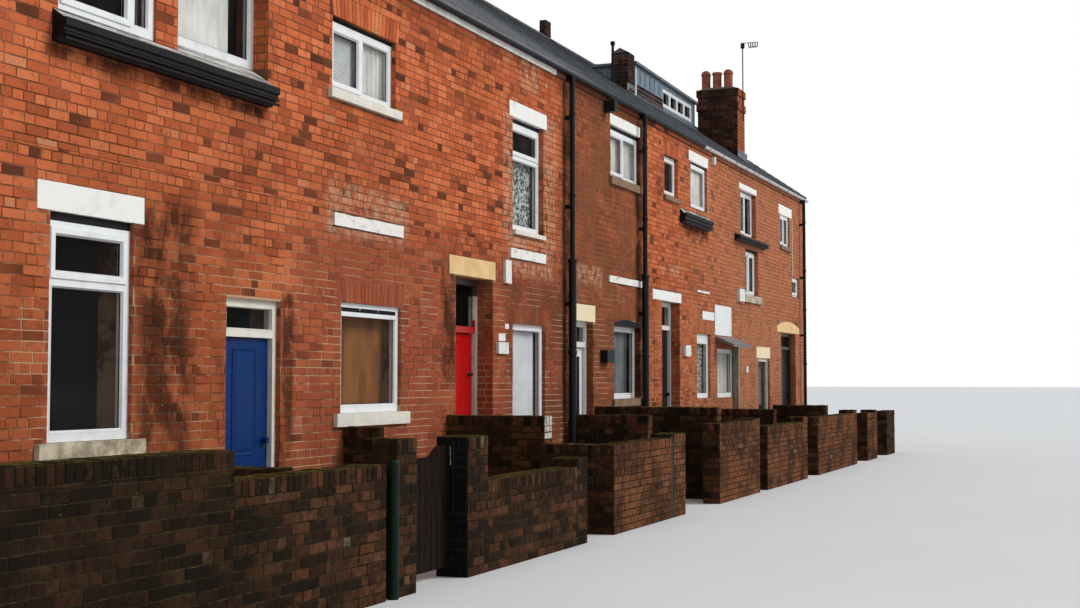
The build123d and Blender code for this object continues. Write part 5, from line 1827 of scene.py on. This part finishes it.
def glazed_door(number, paint, slot):
    """One tall pane in a leaf with a panel below it; the pane is a dark gloss sheet whose colour
    is painted shade of the hall behind.
    """
    left, right, low, high, face = leaf_of(number)
    plane = street_plane(face)
    left += GLAZED_STILE
    right -= GLAZED_STILE
    split = low + GLAZED_PANEL_HEIGHT
    rect = (left, right, split, high - 0.10)
    trim = Mesh()
    rect_sweep(trim, plane, rect, GLAZING)
    rect_sweep(trim, plane, (left, right, low + 0.09, split - 0.08), PANEL, cap=True)
    trim.done(f"door_glazing_{number}", paint, slot, body=body_of(number))
    pane = Mesh()
    rect_sweep(pane, plane, rect, PANE_ON_LEAF, cap=True)
    pane.done(f"door_pane_{number}", SHADED_DOOR_GLASS, "glass", body=body_of(number))


def door_looks():
    panelled_door(0, BLUE, "blue_paint", 0.16, 0.19)
    panelled_door(1, BLUE, "blue_paint", 0.16, 0.19)
    panelled_door(2, RED, "red_paint", 0.19, 0.22)
    glazed_door(3, WHITE_GLOSS, "white_plastic")
    panelled_door(4, BLACK_DOOR, "black_door", 0.13, 0.13)
    glazed_door(5, BLACK_DOOR, "black_door")
    panelled_door(6, BLACK_DOOR, "black_door", 0.16, 0.16)
    door_latch()


def door_latch():
    """A dark latch on the red door's stile."""
    _, right, low, _, face = leaf_of(2)
    x = right - 0.09
    z = low + 1.55
    latch = Mesh()
    latch.rings([[(x + across, face - out, z + up) for across, up in circle(radius, 20)]
                 for radius, out in LATCH_ROSE], cap_last=True)
    latch.done("door_latch_2", BRASS, "steel", body="door_2")


def fanlight_beads():
    """Beads round the panes over the doors."""
    beads = Mesh()
    for pane in solids_of("fanlight_glass"):
        post = min(POSTS, key=lambda box: abs(box[1].x - pane[0].x))
        depth = pane[0].y - post[0].y
        profile = ((-0.001, -0.003), (0.001, 0.0015), (0.010, 0.0015), (0.018, -depth * 0.7),
                   (0.018, -depth + 0.0002))
        rect_sweep(beads, street_plane(post[0].y), rect_of(pane), profile)
    beads.done("fanlight_beads", FRAME_PAINT, "white_plastic")


# Eaves, pipes and yard fittings

def gutter_brackets():
    """Straps that hold the gutters to the fascia, and collars where lengths meet."""
    straps = Mesh()
    collars = Mesh()
    gutters = sorted(solids_of("gutters"), key=lambda box: box[0].y)
    for (low, high), toward_wall in zip(gutters, (1, -1)):
        middle = (low.y + high.y) / 2
        x = ROW_LEFT + 0.35
        index = 0
        while x < ROW_RIGHT - 0.1:
            half_ring(straps, x, STRAP_HALF_WIDTH, middle, high.z, STRAP_RADIUS, toward_wall)
            if index % STRAPS_A_COLLAR == 2:
                half_ring(collars, x + COLLAR_FROM_STRAP, COLLAR_HALF_WIDTH, middle, high.z,
                          COLLAR_RADIUS, toward_wall)
            x += STRAP_STEP
            index += 1
    straps.done("gutter_straps", IRON, "black_pipe")
    collars.done("gutter_collars", GUTTER_PAINT, "black_pipe")


def half_ring(mesh, x, half_width, y, z, radius, toward_wall):
    """A strap under a half-round gutter, from one rim to the other."""
    loops = []
    for at, grow in ((x - half_width, 0.0), (x - half_width, 0.0025),
                     (x + half_width, 0.0025), (x + half_width, 0.0)):
        loop = []
        for step in range(9):
            angle = math.pi * step / 8
            reach = radius - 0.003 + grow
            loop.append((at, y + toward_wall * reach * math.cos(angle),
                         z - reach * math.sin(angle)))
        loops.append(loop if toward_wall < 0 else loop[::-1])
    mesh.rings(loops, closed=False)


def pipe_collars():
    """Raised collars where the downpipes' lengths meet."""
    collars = Mesh()
    for low, high in front_ones(solids_of("downpipes")):
        if high.z < 5.5:
            continue
        x = (low.x + high.x) / 2
        y = FACE - PIPE_FROM_WALL
        wide = high.x - low.x > 0.08
        for z, wide_radius in PIPE_JOINTS:
            radius = wide_radius if wide else THIN_PIPE_COLLAR
            collars.rings([[(x + across, y + back, z + rise)
                            for across, back in circle(radius + grow, 18)]
                           for grow, rise in COLLAR_RINGS])
    collars.done("pipe_collars", PIPE_PAINT, "black_pipe")


def gate_top(x, left, right):
    """The gate's top edge at a place along it: low, an S-shaped rise, then high."""
    start = left + GATE_LOW_FLAT
    end = right - GATE_HIGH_FLAT
    along = min(max((x - start) / (end - start), 0.0), 1.0)
    smooth = along * along * (3 - 2 * along)
    return GATE_LOW_TOP + (GATE_HIGH_TOP - GATE_LOW_TOP) * smooth


def gate_boards():
    """Upright boards with small gaps on the gate's street face."""
    low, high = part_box("garden_gate")
    boards = Mesh()
    width = (high.x - low.x) / GATE_BOARDS
    for index in range(GATE_BOARDS):
        start = low.x + index * width + 0.003
        end = start + width - 0.006
        tops = [(x, gate_top(x, low.x, high.x) - 0.001) for x in np.linspace(end, start, 5)]
        outline = [(start, low.z + 0.002), (end, low.z + 0.002)] + tops
        middle_x = (start + end) / 2
        loops = []
        for out, inset in ((-0.001, 0.0), (0.004, 0.0), (0.0055, 0.002)):
            loops.append([(x + math.copysign(inset, middle_x - x), low.y - out,
                           z + (inset if z < 0.5 else -inset)) for x, z in outline])
        boards.rings(loops, cap_last=True, tone=random.random())
    boards.done("gate_boards", GATE_WOOD, "dark_timber", body="gate")


def gate_latch():
    """A hooked bar and a narrow iron strip on the side of the pier by the gate."""
    pier = solids_of("garden_piers")[1]
    x = pier[0].x - 0.006
    bar = Mesh()
    tube(bar, ((x + 0.008, -4.376, 1.064), (x, -4.380, 1.064), (x, -4.386, 1.056),
               (x, LATCH_Y, 0.915)), 0.0045, sides=8)
    tube(bar, ((x, LATCH_Y, 0.955), (x, LATCH_Y, 0.912)), 0.0075, sides=8)
    bar.box((x - 0.002, -4.396, 1.000), (pier[0].x + 0.002, -4.380, 1.014), edge=0.002)
    bar.done("gate_latch_bar", STEEL, "steel")
    strip = Mesh()
    strip.box((x - 0.002, -4.420, 0.573), (pier[0].x + 0.002, -4.402, 1.118), edge=0.003)
    for z in STRIP_SCREWS:
        tube(strip, ((x, STRIP_Y, z), (x - 0.006, STRIP_Y, z)), 0.007, sides=8)
    strip.done("gate_pier_strip", IRON, "black_paint")


def aerial_fittings():
    """A clamp at the head of the aerial's mast and a coil at the end of its arm."""
    low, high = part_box("aerial")
    x = (low.x + high.x) / 2
    radius = (high.x - low.x) / 2
    mast_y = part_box("chimney_stack")[0].y - MAST_STANDOFF
    fittings = Mesh()
    fittings.box((low.x - 0.012, mast_y - 0.04, high.z - 0.12),
                 (high.x + 0.012, mast_y + 0.04, high.z - 0.001), edge=0.008)
    coil = []
    for step in range(COIL_STEPS):
        turn = step * math.pi / 6
        coil.append((x + COIL_RADIUS * math.sin(turn), low.y + 0.012 + step * 0.004,
                     high.z - radius - COIL_RADIUS + COIL_RADIUS * math.cos(turn)))
    tube(fittings, coil, 0.010, sides=6)
    fittings.done("aerial_fittings", IRON, "steel")


def post_caps():
    """A rounded cap on the round post."""
    low, high = solids_of("garden_posts")[0]
    middle = (low + high) / 2
    radius = (high.x - low.x) / 2
    cap = Mesh()
    cap.rings([[(middle.x + across, middle.y + back, high.z + rise)
                for across, back in circle(radius * share, 24)]
               for share, rise in POST_CAP_RINGS], cap_last=True)
    cap.done("round_post_cap", POST_PAINT, "black_paint")


# Ledges, lintels, sills and steps

def ledge_mouldings():
    """Boards and beads along the street face of each boxed ledge, a little out of line."""
    bands = Mesh()
    for low, high in solids_of("boxed_ledges"):
        if high.y - low.y < 0.09 or low.y > FACE - 0.05:
            continue
        height = (high.z - low.z) * LEDGE_FACE_SHARE
        for start, end, proud in LEDGE_BANDS:
            lay_band(bands, low.x, high.x, low.y, low.z + height * start,
                     low.z + height * end, proud)
    bands.done("ledge_mouldings", IRON, "black_paint")


def lay_band(bands, left, right, y, low, high, proud):
    loops = []
    for x in evenly(left, right, 0.12, 4):
        shift = uneven((x, y, low), 4, 0.006)
        out = proud + uneven((x, y, high), 9, 0.003)
        loops.append([(x, y + 0.01, low + shift), (x, y - out + 0.002, low + shift),
                      (x, y - out, low + shift + 0.003), (x, y - out, high + shift - 0.003),
                      (x, y - out + 0.003, high + shift), (x, y + 0.01, high + shift)])
    bands.rings(loops, closed=False)
    for loop in (loops[0], loops[-1]):
        bands.add(loop, [tuple(range(len(loop)))])


def worn_stonework():
    weathered("lintels_painted", "worn_lintels_painted", PAINTED_STONE)
    weathered("lintels_stone", "worn_lintels_stone", PLAIN_STONE)
    weathered("window_sills", "worn_sills", SILL_STONE)
    weathered("wall_stubs", "worn_stubs", STUB_STONE, edge=0.012,
              step=0.035, depth=0.012)
    weathered("boxed_ledges", "worn_ledges", LEDGE_BOARDS, edge=0.004,
              depth=0.003)
    weathered("doorsteps", "worn_doorsteps", CONCRETE, edge=0.010)


# Stage, light and camera

def make_floor():
    mesh = bpy.data.meshes.new("floor")
    reach = 400
    corners = corners_of(-reach, reach, -reach, reach)
    mesh.from_pydata([(x, y, 0) for x, y in corners], [], [(0, 1, 2, 3)])
    floor = bpy.data.objects.new("floor", mesh)
    bpy.context.scene.collection.objects.link(floor)
    floor.location.z = -0.002
    paint = Paint("pale_floor", roughness=0.9)
    paint.color = paint.mix(paint.noise(0.3, 3), (0.62, 0.62, 0.61), (0.68, 0.68, 0.67))
    mesh.materials.append(paint.done())


def make_world():
    """White for what the camera sees, and softer as a light."""
    world = bpy.data.worlds.new("world")
    bpy.context.scene.world = world
    world.use_nodes = True
    nodes = world.node_tree.nodes
    soft = nodes["Background"]
    seen = nodes.new("ShaderNodeBackground")
    for light, color, strength in ((soft, SKY_COLOR, SKY_STRENGTH), (seen, (1, 1, 1, 1), 1.0)):
        light.inputs["Color"].default_value = color
        light.inputs["Strength"].default_value = strength
    path = nodes.new("ShaderNodeLightPath")
    either = nodes.new("ShaderNodeMath")
    either.operation = "MAXIMUM"
    mix = nodes.new("ShaderNodeMixShader")
    for start, end in ((path.outputs["Is Camera Ray"], either.inputs[0]),
                       (path.outputs["Is Transmission Ray"], either.inputs[1]),
                       (either.outputs[0], mix.inputs[0]), (soft.outputs[0], mix.inputs[1]),
                       (seen.outputs[0], mix.inputs[2]),
                       (mix.outputs[0], nodes["World Output"].inputs["Surface"])):
        world.node_tree.links.new(start, end)


def make_sun(name, toward, strength, angle):
    light = bpy.data.lights.new(name, "SUN")
    light.energy = strength
    light.angle = math.radians(angle)
    lamp = bpy.data.objects.new(name, light)
    bpy.context.scene.collection.objects.link(lamp)
    lamp.rotation_mode = "QUATERNION"
    lamp.rotation_quaternion = Vector(toward).to_track_quat("-Z", "Y")


def make_camera():
    data = bpy.data.cameras.new("camera")
    data.lens = CAMERA_LENS
    data.sensor_width = SENSOR_WIDTH
    data.clip_end = 500
    camera = bpy.data.objects.new("camera", data)
    bpy.context.scene.collection.objects.link(camera)
    turn = math.radians(CAMERA_TURN)
    pitch = math.radians(CAMERA_PITCH)
    view = Vector((math.cos(pitch) * math.cos(turn), math.cos(pitch) * math.sin(turn),
                   math.sin(pitch)))
    camera.location = (CAMERA_X, FACE - CAMERA_BEFORE_FACE, CAMERA_Z)
    camera.rotation_mode = "QUATERNION"
    camera.rotation_quaternion = view.to_track_quat("-Z", "Y")
    bpy.context.scene.camera = camera


def make_stage():
    make_floor()
    make_world()
    make_sun("key", (-0.35, 0.72, -0.60), 2.15, 25)
    make_sun("fill", (0.8, -0.5, -0.55), 0.35, 60)
    make_camera()
    bpy.context.scene.view_settings.view_transform = "Standard"


# Everything in its order

paint_nodes()
street_brickwork()
eaves_bricks()
rear_brickwork()
end_brickwork()
yard_brickwork()
chimney_brickwork()
worn_stonework()
ledge_mouldings()
roof_slates()
lead_flashings()
ridge_joints()
canopy_slates()
dormer_trim()
window_sashes()
vent_rail()
curtain_rails()
for hung in CLOTHS:
    hang_cloth(hung)
upright_slats()
level_slats()
door_looks()
fanlight_beads()
gutter_brackets()
pipe_collars()
gate_boards()
gate_latch()
aerial_fittings()
post_caps()
make_stage()
